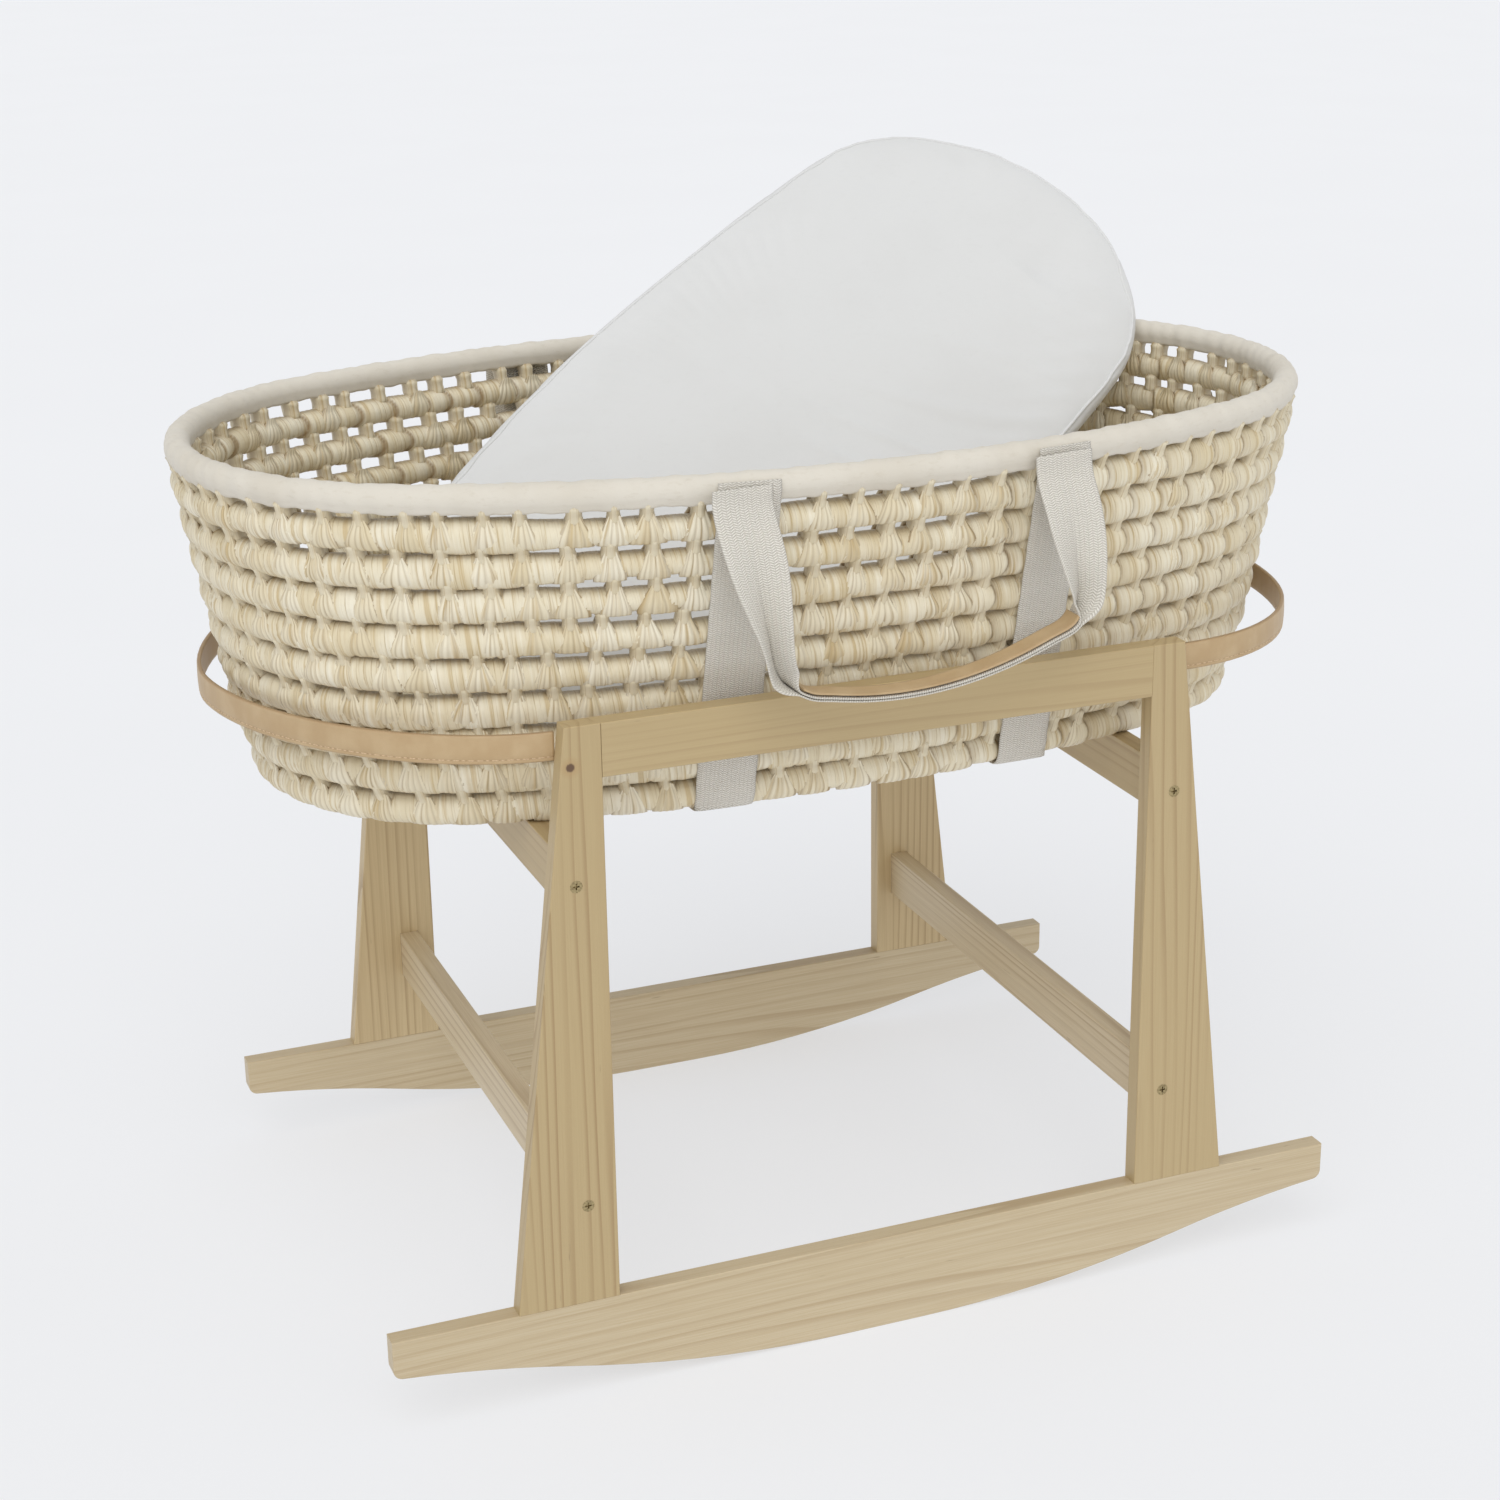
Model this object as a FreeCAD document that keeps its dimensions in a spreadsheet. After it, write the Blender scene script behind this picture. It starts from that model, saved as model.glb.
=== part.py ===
"""Moses basket on a rocking stand.

The stand is two side frames of pine boards (legs, top rail, rocker) joined by four
cross bars and two leather end belts. A coiled husk basket with a mattress and two
webbing handles rests on the upper pair of cross bars.

Frame: +X along the rockers, +Y to the far side, +Z up. The origin is on the floor,
midway between the two rockers. All sizes are in millimetres.
"""
import FreeCAD, Part
import Sketcher
import math
import os

V = FreeCAD.Vector
X_AXIS, Y_AXIS, Z_AXIS = V(1, 0, 0), V(0, 1, 0), V(0, 0, 1)

# Driving dimensions: alias, value, meaning.
DIMENSIONS = [
    ("board_thick", 15, "thickness of every board"),
    ("board_wide", 38, "height of the rails and cross bars"),
    ("edge_round", 1, "eased edge of every board"),
    ("stand_width", 488, "outer face to outer face of the side frames"),
    ("rocker_length", 740, "length of a rocker"),
    ("rocker_depth", 73, "depth of a rocker in its middle"),
    ("rocker_end_height", 29, "height of a rocker at its ends"),
    ("rocker_radius", 953, "radius of the rocking curve and of its run-out"),
    ("rocker_rest", 60, "short level stretch that the stand rests on"),
    ("rocker_nose", 7, "rounded lower corner at a rocker's ends"),
    ("leg_height", 425, "height of a leg above the rocker"),
    ("leg_top_width", 25.5, "width of a leg at its top"),
    ("leg_foot_width", 74, "width of a leg at the rocker"),
    ("leg_inner_gap", 410, "clear distance between the legs of one frame"),
    ("bar_offset", 21, "centre of a cross bar behind the leg's inner edge"),
    ("lower_bar_rise", 75, "centre of a lower bar above the rocker's top edge"),
    ("upper_bar_drop", 112, "centre of an upper bar below the top of the legs"),
    ("housing_depth", 4, "how far a bar is let into a leg"),
    ("housing_gap", 0.1, "play of a bar in its housing, each side"),
    ("screw_head_radius", 4.4, "countersunk head"),
    ("screw_head_depth", 3, "height of the countersunk head"),
    ("screw_shank_radius", 2.2, "shank of a bar screw"),
    ("screw_length", 55, "overall length of a bar screw"),
    ("screw_play", 0.05, "radial play round screws, dowels and rivets"),
    ("recess_span", 4.6, "span of the head's cross recess"),
    ("recess_slot", 1.1, "width of an arm of the cross recess"),
    ("recess_depth", 1.6, "depth of the cross recess"),
    ("dowel_radius", 4, "beech dowel"),
    ("dowel_length", 28, "length of a dowel, half in each board"),
    ("rail_dowel_spread", 18, "distance between the two dowels of a rail joint"),
    ("leg_dowel_spread", 34, "distance between the two dowels of a leg joint"),
    ("leg_dowel_inset", 20, "first leg dowel from the leg's inner edge"),
    ("basket_side_gap", 35, "lowest coil to the inner face of a side frame"),
    ("base_half_length", 372, "centre line of the lowest coil, lengthwise"),
    ("base_end_radius", 155, "end curve of the lowest coil"),
    ("belly_rise", 64, "level of the belly above the basket's underside"),
    ("belly_end_flare", 17, "belly beyond the lowest coil, lengthwise"),
    ("belly_side_flare", 14, "belly beyond the lowest coil, crosswise"),
    ("rim_end_flare", 48, "rim beyond the lowest coil, lengthwise"),
    ("rim_side_flare", 60, "rim beyond the lowest coil, crosswise"),
    ("rim_round_flare", 47, "growth of the end curve up to the rim"),
    ("basket_height", 239, "basket's underside to the centre of the rim"),
    ("wall_thick", 18, "thickness of a husk coil"),
    ("floor_thick", 14, "coiled floor of the basket"),
    ("rest_gap", 0.3, "play between pieces that lie loose on each other"),
    ("rim_radius", 9, "outside of the cloth binding"),
    ("binding_thick", 2.2, "padded cloth binding of the rim"),
    ("binding_gap", 0.1, "play between the binding and its core"),
    ("web_width", 42, "cotton webbing"),
    ("web_thick", 2, "thickness of the webbing"),
    ("web_gap", 0.2, "play between webbing and basket"),
    ("left_web_x", -100, "left webbing round the basket"),
    ("right_web_x", 131, "right webbing round the basket"),
    ("hinge_inset", 2.5, "fold line of a handle inside the rim's widest point"),
    ("handle_left_x", -108, "left end of a handle at the rim"),
    ("handle_right_x", 124, "right end of a handle at the rim"),
    ("handle_drop", 140, "fold line to the middle of the grip"),
    ("handle_skew", 25, "right end of the grip above its left end"),
    ("handle_bow", 21.5, "ends of the grip above its middle"),
    ("handle_reach", 27, "grip outside the fold line"),
    ("handle_bulge", 31, "webbing outside the fold line, halfway down"),
    ("web_side_bow", 4, "webbing sideways of a straight run, halfway down"),
    ("grip_left_x", -84, "left end of the grip"),
    ("grip_right_x", 128, "right end of the grip"),
    ("grip_width", 20, "width of the folded webbing at the grip"),
    ("grip_thick", 2, "leather lining of the grip"),
    ("grip_inset", 9, "folded webbing left bare at each end of the lining"),
    ("belt_width", 20, "leather end belt"),
    ("belt_thick", 3, "two layers of leather, stitched"),
    ("belt_drop", 17, "belt's centre line below the top of the legs"),
    ("belt_left_gap", 17, "left belt to the basket's end"),
    ("belt_right_gap", 3, "right belt to the basket's end"),
    ("belt_left_fullness", 1.75, "exponent of the left belt's curve"),
    ("belt_right_fullness", 2.2, "exponent of the right belt's curve"),
    ("belt_tab", 18, "flat tab of a belt on a leg's inner face"),
    ("belt_screw_radius", 3.4, "round head of a belt screw"),
    ("belt_screw_head", 1.6, "height of a belt screw's head"),
    ("belt_screw_shank", 1.5, "shank radius of a belt screw"),
    ("belt_screw_length", 12, "length of a belt screw's shank"),
    ("rivet_offset", 20, "rivet beyond the leg along the belt"),
    ("rivet_radius", 1.6, "rivet of the folded belt end"),
    ("rivet_proud", 0.5, "rivet head beyond the leather, each side"),
    ("mattress_half_length", 368, "half the mattress length"),
    ("mattress_half_width", 163, "half the mattress width"),
    ("mattress_end_radius", 139, "end curve of the mattress"),
    ("mattress_thick", 34, "mattress with its cover"),
    ("mattress_edge", 10, "rounded edge of the mattress"),
    ("cover_thick", 2, "quilted cotton cover"),
    ("mattress_lean", 39.4, "lean of the mattress about X in degrees"),
    ("mattress_turn", 35.7, "turn of the mattress in its own plane in degrees"),
    ("mattress_shift_x", 57.4, "centre of the mattress along the basket"),
    ("mattress_shift_y", 49.7, "centre of the mattress across the basket"),
]

doc = FreeCAD.newDocument("moses_basket_on_stand")
sheet = doc.addObject("Spreadsheet::Sheet", "dims")
for row, (alias, size, meaning) in enumerate(DIMENSIONS, start=1):
    sheet.set(f"A{row}", alias)
    sheet.set(f"B{row}", str(size))
    sheet.set(f"C{row}", meaning)
    sheet.setAlias(f"B{row}", alias)
doc.recompute()

parts = {}


def val(text):
    """Value of an alias, or of an expression of aliases."""
    return float(sheet.evalExpression(text.replace("dims.", "")))


# ---------------------------------------------------------------- shared places
FRAME_OUT = "(dims.stand_width / 2)"
FRAME_IN = "(dims.stand_width / 2 - dims.board_thick)"
FRAME_MIDDLE = "(dims.stand_width / 2 - dims.board_thick / 2)"
LEG_IN = "(dims.leg_inner_gap / 2)"
LEG_TOP = "(dims.rocker_depth + dims.leg_height)"
BAR_X = "(dims.leg_inner_gap / 2 + dims.bar_offset)"
BAR_RISES = {
    "lower": "(dims.rocker_depth + dims.lower_bar_rise)",
    "upper": "(dims.rocker_depth + dims.leg_height - dims.upper_bar_drop)",
}
LEG_DOWELS = (
    "(dims.leg_inner_gap / 2 + dims.leg_dowel_inset)",
    "(dims.leg_inner_gap / 2 + dims.leg_dowel_inset + dims.leg_dowel_spread)",
)
BELT_X = "(dims.leg_inner_gap / 2 + dims.leg_top_width + 2 * dims.edge_round)"
BELT_Z = "(dims.rocker_depth + dims.leg_height - dims.belt_drop)"
BASKET_Z = f"({BAR_RISES['upper']} + dims.board_wide / 2 + dims.rest_gap)"
RIM_Z = f"({BASKET_Z} + dims.basket_height)"
HOLE_RADIUS = "(dims.screw_shank_radius + dims.screw_play)"
BORE_RADIUS = "(dims.dowel_radius + dims.screw_play)"


# ---------------------------------------------------------------- small helpers
def bind(item, **expressions):
    """Bind properties of an object; a dot in a property's name is written __."""
    for name, text in expressions.items():
        item.setExpression(name.replace("__", "."), text)
    return item


def place(item, x="0", y="0", z="0"):
    """Bind the position of an object to three expressions."""
    return bind(item, Placement__Base__x=x, Placement__Base__y=y, Placement__Base__z=z)


def turned(item, axis, degrees):
    """Turn an object about an axis through its own origin."""
    item.Placement = FreeCAD.Placement(V(0, 0, 0), FreeCAD.Rotation(axis, degrees))
    return item


def box(name, length, width, height, x="0", y="0", z="0"):
    item = bind(doc.addObject("Part::Box", name), Length=length, Width=width, Height=height)
    return place(item, x, y, z)


def rod(name, radius, height, x="0", y="0", z="0", axis=Z_AXIS, degrees=0):
    item = bind(doc.addObject("Part::Cylinder", name), Radius=radius, Height=height)
    return place(turned(item, axis, degrees), x, y, z)


def cone(name, radius, tip_radius, height, x="0", y="0", z="0", axis=Z_AXIS, degrees=0):
    item = doc.addObject("Part::Cone", name)
    bind(item, Radius1=radius, Radius2=tip_radius, Height=height)
    return place(turned(item, axis, degrees), x, y, z)


def cut(name, base, tool):
    item = doc.addObject("Part::Cut", name)
    item.Base, item.Tool = base, tool
    return item


def common(name, base, tool):
    item = doc.addObject("Part::Common", name)
    item.Base, item.Tool = base, tool
    return item


def fuse(name, shapes):
    item = doc.addObject("Part::MultiFuse", name)
    item.Shapes = shapes
    return item


def group(name, links):
    """Separate solids kept together under one name."""
    item = doc.addObject("Part::Compound", name)
    item.Links = links
    return item


def mirror(name, source, normal):
    item = doc.addObject("Part::Mirroring", name)
    item.Source, item.Normal = source, normal
    return item


def wire(name, edges):
    """Profile or path made of given edges."""
    item = doc.addObject("Part::Feature", name)
    item.Shape = Part.Wire(edges)
    return item


def extrude(name, profile, direction, length):
    item = doc.addObject("Part::Extrusion", name)
    item.Base = profile
    item.DirMode, item.Dir = "Custom", direction
    item.Solid = True
    return bind(item, LengthFwd=length)


def loft(name, sections):
    item = doc.addObject("Part::Loft", name)
    item.Sections = sections
    item.Solid, item.Ruled = True, True
    return item


def rounded(name, base, radius, chosen):
    """Fillet of the edges that a test function chooses."""
    doc.recompute()
    item = doc.addObject("Part::Fillet", name)
    item.Base = base
    numbered = enumerate(base.Shape.Edges, start=1)
    item.Edges = [(number, radius, radius) for number, edge in numbered if chosen(edge)]
    return item


def keep(item, label):
    """Name a finished sub-part and list it for export."""
    item.Label = label
    parts[label] = item
    return item


def runs_along(direction):
    """Test for straight edges that run along a direction."""
    def chosen(edge):
        ends = edge.Vertexes
        return len(ends) == 2 and (ends[1].Point - ends[0].Point).cross(direction).Length < 1e-6
    return chosen


# ---------------------------------------------------------------- four-arc ovals
class Oval:
    """Closed curve of four tangent arcs: half length, half width and end radius."""

    def __init__(self, length, width, end):
        self.length, self.width, self.end = length, width, end
        self.side = (length ** 2 + width ** 2 - 2 * length * end) / (2 * (width - end))

    def grown(self, by):
        """Parallel oval, further out by a distance."""
        return Oval(self.length + by, self.width + by, self.end + by)

    def mixed(self, other, share):
        """Oval between this one and another."""
        pairs = ((self.length, other.length), (self.width, other.width), (self.end, other.end))
        return Oval(*[own + (far - own) * share for own, far in pairs])

    def distance(self, x, y):
        """How far a point lies outside the oval; negative inside."""
        x, y = abs(x), abs(y)
        end_x, side_y = self.length - self.end, self.side - self.width
        if y * end_x <= (x - end_x) * side_y:
            return math.hypot(x - end_x, y) - self.end
        return math.hypot(x, y + side_y) - self.side

    def edges(self, height):
        """The four arcs at one height, ready for a wire."""
        end_x, side_y = self.length - self.end, self.side - self.width
        reach = math.hypot(end_x, side_y)
        corner = V(end_x + self.end * end_x / reach, self.end * side_y / reach, height)
        below = V(corner.x, -corner.y, height)
        right = (below, V(self.length, 0, height), corner)
        top = (corner, V(0, self.width, height), V(-corner.x, corner.y, height))
        arcs = [Part.Arc(*arc).toShape() for arc in (right, top)]
        for arc in (right, top):
            arcs.append(Part.Arc(*[V(-point.x, -point.y, height) for point in arc]).toShape())
        return arcs

    def points(self, count):
        """Evenly spaced points round the oval."""
        return Part.Wire(self.edges(0)).discretize(Number=count + 1)[:-1]


base_width = val(f"{FRAME_IN} - dims.basket_side_gap - dims.wall_thick / 2")
base_oval = Oval(val("base_half_length"), base_width, val("base_end_radius"))
rim_oval = Oval(base_oval.length + val("rim_end_flare"), base_oval.width + val("rim_side_flare"),
                base_oval.end + val("rim_round_flare"))
belly_share = val("belly_rise / basket_height")
belly_oval = Oval(base_oval.length + val("belly_end_flare"),
                  base_oval.width + val("belly_side_flare"),
                  base_oval.end + val("rim_round_flare") * belly_share)
basket_z = val(BASKET_Z)
rim_z = val(RIM_Z)
belly_z = basket_z + val("belly_rise")


def wall_oval(height):
    """Centre line of the basket's wall at one height."""
    if height < belly_z:
        return base_oval.mixed(belly_oval, (height - basket_z) / (belly_z - basket_z))
    return belly_oval.mixed(rim_oval, (height - belly_z) / (rim_z - belly_z))


def basket_envelope(name, grown, bottom, top):
    """Solid inside the basket's wall surface, offset sideways, between two levels."""
    sections = []
    for number, height in enumerate((bottom, belly_z, top)):
        outline = wall_oval(height).grown(grown)
        sections.append(wire(f"{name}_section_{number}", outline.edges(height)))
    return loft(name, sections)


# ---------------------------------------------------------------- rockers
def rocker_edges():
    """Level top, short ends, and a level rest that runs out in two tangent arcs."""
    half = val("rocker_length / 2")
    top = val("rocker_depth")
    rest = val("rocker_rest / 2")
    radius = val("rocker_radius")
    tip = V(half, 0, val("rocker_depth - rocker_end_height"))
    centre = V(rest, 0, radius)
    reach = (tip - centre).Length
    unit = (tip - centre) * (1 / reach)
    along = (3 * radius ** 2 + reach ** 2) / (2 * reach)
    off = math.sqrt(4 * radius ** 2 - along ** 2)
    run_out = centre + unit * along + V(unit.z, 0, -unit.x) * off
    meet = (centre + run_out) * 0.5

    def bow(middle, start, stop):
        mean = (start - middle) + (stop - middle)
        return (start, middle + mean * (radius / mean.Length), stop)

    def flipped(points):
        return [V(-point.x, 0, point.z) for point in reversed(points)]

    curves = [bow(centre, V(rest, 0, 0), meet), bow(run_out, meet, tip)]
    outline = [Part.LineSegment(V(-rest, 0, 0), V(rest, 0, 0)).toShape()]
    outline += [Part.Arc(*curve).toShape() for curve in curves]
    corners = [tip, V(half, 0, top), V(-half, 0, top), V(-half, 0, tip.z)]
    for start, stop in zip(corners, corners[1:]):
        outline.append(Part.LineSegment(start, stop).toShape())
    outline += [Part.Arc(*flipped(curve)).toShape() for curve in reversed(curves)]
    return outline


def upright_rods(prefix, radius, sides):
    """Rods of the near frame's leg joints: the dowels, or the bores round them."""
    rods = []
    for side in sides:
        for number, where in enumerate(LEG_DOWELS):
            rods.append(rod(f"{prefix}_{side + 1}_{number}", radius, "dims.dowel_length",
                            f"{side} * {where}", f"-{FRAME_MIDDLE}",
                            "dims.rocker_depth - dims.dowel_length / 2"))
    return rods


def level_rods(prefix, radius, sides):
    """Rods of the near frame's rail joints: the dowels, or the bores round them."""
    rods = []
    for side in sides:
        for step in (-1, 1):
            height = f"{LEG_TOP} - dims.board_wide / 2 + {step} * dims.rail_dowel_spread / 2"
            rods.append(rod(f"{prefix}_{side + 1}_{step + 1}", radius, "dims.dowel_length",
                            f"{side} * {LEG_IN} - dims.dowel_length / 2", f"-{FRAME_MIDDLE}",
                            height, Y_AXIS, 90))
    return rods


def build_rockers():
    blank = extrude("rocker_blank", wire("rocker_profile", rocker_edges()), Y_AXIS,
                    "dims.board_thick")
    place(blank, y=f"-{FRAME_OUT}")
    half = val("rocker_length / 2")
    low = val("rocker_depth - rocker_end_height")

    def is_nose(edge):
        middle = edge.CenterOfMass
        return abs(abs(middle.x) - half) < 1e-6 and abs(middle.z - low) < 1e-6

    nosed = rounded("rocker_nosed", blank, val("rocker_nose"), is_nose)
    along = runs_along(Y_AXIS)
    board = rounded("rocker_board", nosed, val("edge_round"), lambda edge: not along(edge))
    bores = group("rocker_bores", upright_rods("rocker_bore", BORE_RADIUS, (-1, 1)))
    near = keep(cut("near_rocker", board, bores), "near_rocker")
    keep(mirror("far_rocker", near, Y_AXIS), "far_rocker")


# ---------------------------------------------------------------- legs
def leg_board():
    """Tapered board with a straight inner edge, padded from a sketch."""
    body = doc.addObject("PartDesign::Body", "leg_blank")
    sketch = body.newObject("Sketcher::SketchObject", "leg_outline")
    plane = [item for item in body.Origin.OriginFeatures if item.Role == "XZ_Plane"][0]
    sketch.AttachmentSupport = [(plane, "")]
    sketch.MapMode = "FlatFace"
    corners = [
        (LEG_IN, "dims.rocker_depth"),
        (f"{LEG_IN} + dims.leg_foot_width", "dims.rocker_depth"),
        (f"{LEG_IN} + dims.leg_top_width", LEG_TOP),
        (LEG_IN, LEG_TOP),
    ]
    points = [V(val(across), val(up), 0) for across, up in corners]
    for number, point in enumerate(points):
        sketch.addGeometry(Part.LineSegment(point, points[(number + 1) % 4]), False)
    for number in range(4):
        follower = (number + 1) % 4
        sketch.addConstraint(Sketcher.Constraint("Coincident", number, 2, follower, 1))
    for number, corner in enumerate(corners):
        for kind, text in zip(("DistanceX", "DistanceY"), corner):
            size = Sketcher.Constraint(kind, -1, 1, number, 1, val(text))
            sketch.setExpression(f"Constraints[{sketch.addConstraint(size)}]", text)
    pad = body.newObject("PartDesign::Pad", "leg_pad")
    pad.Profile = sketch
    pad.Midplane = True
    bind(pad, Length="dims.board_thick")
    doc.recompute()
    round_edges = body.newObject("PartDesign::Fillet", "leg_edges")
    faces_along = runs_along(Y_AXIS)
    numbered = enumerate(pad.Shape.Edges, start=1)
    foot = val("rocker_depth")
    names = [f"Edge{number}" for number, edge in numbered
             if not faces_along(edge) and abs(edge.CenterOfMass.z - foot) > 1]
    round_edges.Base = (pad, names)
    bind(round_edges, Radius="dims.edge_round")
    place(body, y=f"-{FRAME_MIDDLE}")
    return body


def build_legs():
    tools = upright_rods("leg_bore", BORE_RADIUS, (1,))
    tools += level_rods("leg_rail_bore", BORE_RADIUS, (1,))
    for level, height in BAR_RISES.items():
        tools.append(rod(f"leg_{level}_hole", HOLE_RADIUS, "dims.board_thick",
                         BAR_X, f"-{FRAME_IN}", height, X_AXIS, 90))
        tools.append(cone(f"leg_{level}_sink", "dims.screw_head_radius + dims.screw_play",
                          HOLE_RADIUS, "dims.screw_head_depth",
                          BAR_X, f"-{FRAME_OUT}", height, X_AXIS, -90))
        tools.append(box(f"leg_{level}_housing", "dims.board_thick + 2 * dims.housing_gap",
                         "dims.housing_depth", "dims.board_wide + 2 * dims.housing_gap",
                         f"{BAR_X} - dims.board_thick / 2 - dims.housing_gap",
                         f"-{FRAME_IN} - dims.housing_depth",
                         f"{height} - dims.board_wide / 2 - dims.housing_gap"))
    tools.append(rod("leg_belt_pilot", "dims.belt_screw_shank + dims.screw_play",
                     "dims.belt_screw_length", f"{BELT_X} - dims.belt_tab / 2",
                     f"-({FRAME_IN} - dims.belt_thick)", BELT_Z, X_AXIS, 90))
    near_right = cut("near_right_leg", leg_board(), fuse("leg_tools", tools))
    keep(near_right, "near_right_leg")
    near_left = keep(mirror("near_left_leg", near_right, X_AXIS), "near_left_leg")
    keep(mirror("far_right_leg", near_right, Y_AXIS), "far_right_leg")
    keep(mirror("far_left_leg", near_left, Y_AXIS), "far_left_leg")


# ---------------------------------------------------------------- rails and cross bars
def build_rails():
    blank = box("rail_blank", "dims.leg_inner_gap", "dims.board_thick", "dims.board_wide",
                f"-{LEG_IN}", f"-{FRAME_OUT}", f"{LEG_TOP} - dims.board_wide")
    board = rounded("rail_board", blank, val("edge_round"), runs_along(X_AXIS))
    bores = group("rail_bores", level_rods("rail_bore", BORE_RADIUS, (-1, 1)))
    near = keep(cut("near_top_rail", board, bores), "near_top_rail")
    keep(mirror("far_top_rail", near, Y_AXIS), "far_top_rail")


def build_bars():
    for level, height in BAR_RISES.items():
        blank = box(f"{level}_bar_blank", "dims.board_thick",
                    f"2 * ({FRAME_IN} + dims.housing_depth)", "dims.board_wide",
                    f"{BAR_X} - dims.board_thick / 2", f"-{FRAME_IN} - dims.housing_depth",
                    f"{height} - dims.board_wide / 2")
        board = rounded(f"{level}_bar_board", blank, val("edge_round"), runs_along(Y_AXIS))
        pilots = []
        for side in (-1, 1):
            pilots.append(rod(f"{level}_pilot_{side + 1}", HOLE_RADIUS, "dims.screw_length",
                              BAR_X, f"{side} * {FRAME_OUT}", height, X_AXIS, 90 * side))
        right = cut(f"{level}_right_bar", board, group(f"{level}_pilots", pilots))
        keep(right, f"{level}_right_bar")
        keep(mirror(f"{level}_left_bar", right, X_AXIS), f"{level}_left_bar")


# ---------------------------------------------------------------- fasteners of the stand
def bar_screw(name, side_x, side_y, height):
    """Countersunk wood screw with a cross recess, driven from the frame's outer face."""
    where = (f"{side_x} * {BAR_X}", f"{side_y} * {FRAME_OUT}", height, X_AXIS, 90 * side_y)
    head = cone(f"{name}_head", "dims.screw_head_radius", "dims.screw_shank_radius",
                "dims.screw_head_depth", *where)
    shank = rod(f"{name}_shank", "dims.screw_shank_radius", "dims.screw_length", *where)
    arms = []
    spans = ("dims.recess_span", "dims.recess_slot")
    for number, (across, tall) in enumerate((spans, spans[::-1])):
        arms.append(box(f"{name}_arm_{number}", across, "2 * dims.recess_depth", tall,
                        f"{where[0]} - {across} / 2", f"{where[1]} - dims.recess_depth",
                        f"{height} - {tall} / 2"))
    return cut(name, fuse(f"{name}_body", [head, shank]), fuse(f"{name}_recess", arms))


def build_fasteners():
    screws = []
    for level, height in BAR_RISES.items():
        for side_x in (-1, 1):
            for side_y in (-1, 1):
                name = f"screw_{level}_{side_x + 1}_{side_y + 1}"
                screws.append(bar_screw(name, side_x, side_y, height))
    keep(group("bar_screws", screws), "bar_screws")
    for label, rods in (("leg_dowels", upright_rods("leg_dowel", "dims.dowel_radius", (-1, 1))),
                        ("rail_dowels", level_rods("rail_dowel", "dims.dowel_radius", (-1, 1)))):
        near = group(f"{label}_near", rods)
        keep(group(label, [near, mirror(f"{label}_far", near, Y_AXIS)]), label)


# ---------------------------------------------------------------- leather end belts
BELT_POINTS = 8
BELT_START = val(BELT_X)
BELT_SPAN = val(f"{FRAME_IN} - dims.belt_thick / 2")


def belt_reach(gap):
    """Belt's middle beyond the legs: round the basket's end, a gap away from it."""
    end = wall_oval(val(BELT_Z)).length + val("wall_thick / 2")
    return end + val(gap) + val("belt_thick / 2") - BELT_START


def belt_line(reach, fullness):
    """Middle of a belt beyond the legs, as points from the near leg to the far leg."""
    points = []
    for number in range(-BELT_POINTS, BELT_POINTS + 1):
        angle = math.pi / 2 * number / BELT_POINTS
        out = reach * abs(math.cos(angle)) ** (2 / fullness)
        across = BELT_SPAN * abs(math.sin(angle)) ** (2 / fullness)
        points.append(V(BELT_START + out, math.copysign(across, number), 0))
    return points


def belt_band(name, line):
    """Upright band along a line whose two ends run along X."""
    half = val("belt_thick / 2")
    headings = [(after - before).normalize() for before, after in zip(line, line[2:])]
    headings = [X_AXIS] + headings + [X_AXIS * -1]
    sides = []
    for shift in (half, -half):
        curve = Part.BSplineCurve()
        moved = [point + V(head.y, -head.x, 0) * shift for point, head in zip(line, headings)]
        curve.interpolate(Points=moved)
        sides.append(curve)
    outer, inner = sides
    caps = [Part.LineSegment(outer.EndPoint, inner.EndPoint).toShape(),
            Part.LineSegment(inner.StartPoint, outer.StartPoint).toShape()]
    edges = [outer.toShape(), caps[0], inner.toShape(), caps[1]]
    profile = wire(f"{name}_profile", Part.sortEdges(edges)[0])
    band = extrude(f"{name}_band", profile, Z_AXIS, "dims.belt_width")
    return place(band, z=f"{BELT_Z} - dims.belt_width / 2")


def rivet_pin(name, radius, length, line):
    """Pin square to the near end of a belt, at the rivet's place."""
    target = BELT_START + val("rivet_offset")
    before, after = [pair for pair in zip(line, line[1:]) if pair[1].x > target][0]
    share = (target - before.x) / (after.x - before.x)
    middle = before + (after - before) * share + V(0, 0, val(BELT_Z))
    heading = (after - before).normalize()
    outward = V(heading.y, -heading.x, 0)
    pin = bind(doc.addObject("Part::Cylinder", name), Radius=radius, Height=length)
    spin = FreeCAD.Rotation(Z_AXIS, outward)
    pin.Placement = FreeCAD.Placement(middle - outward * (val(length) / 2), spin)
    return pin


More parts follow.
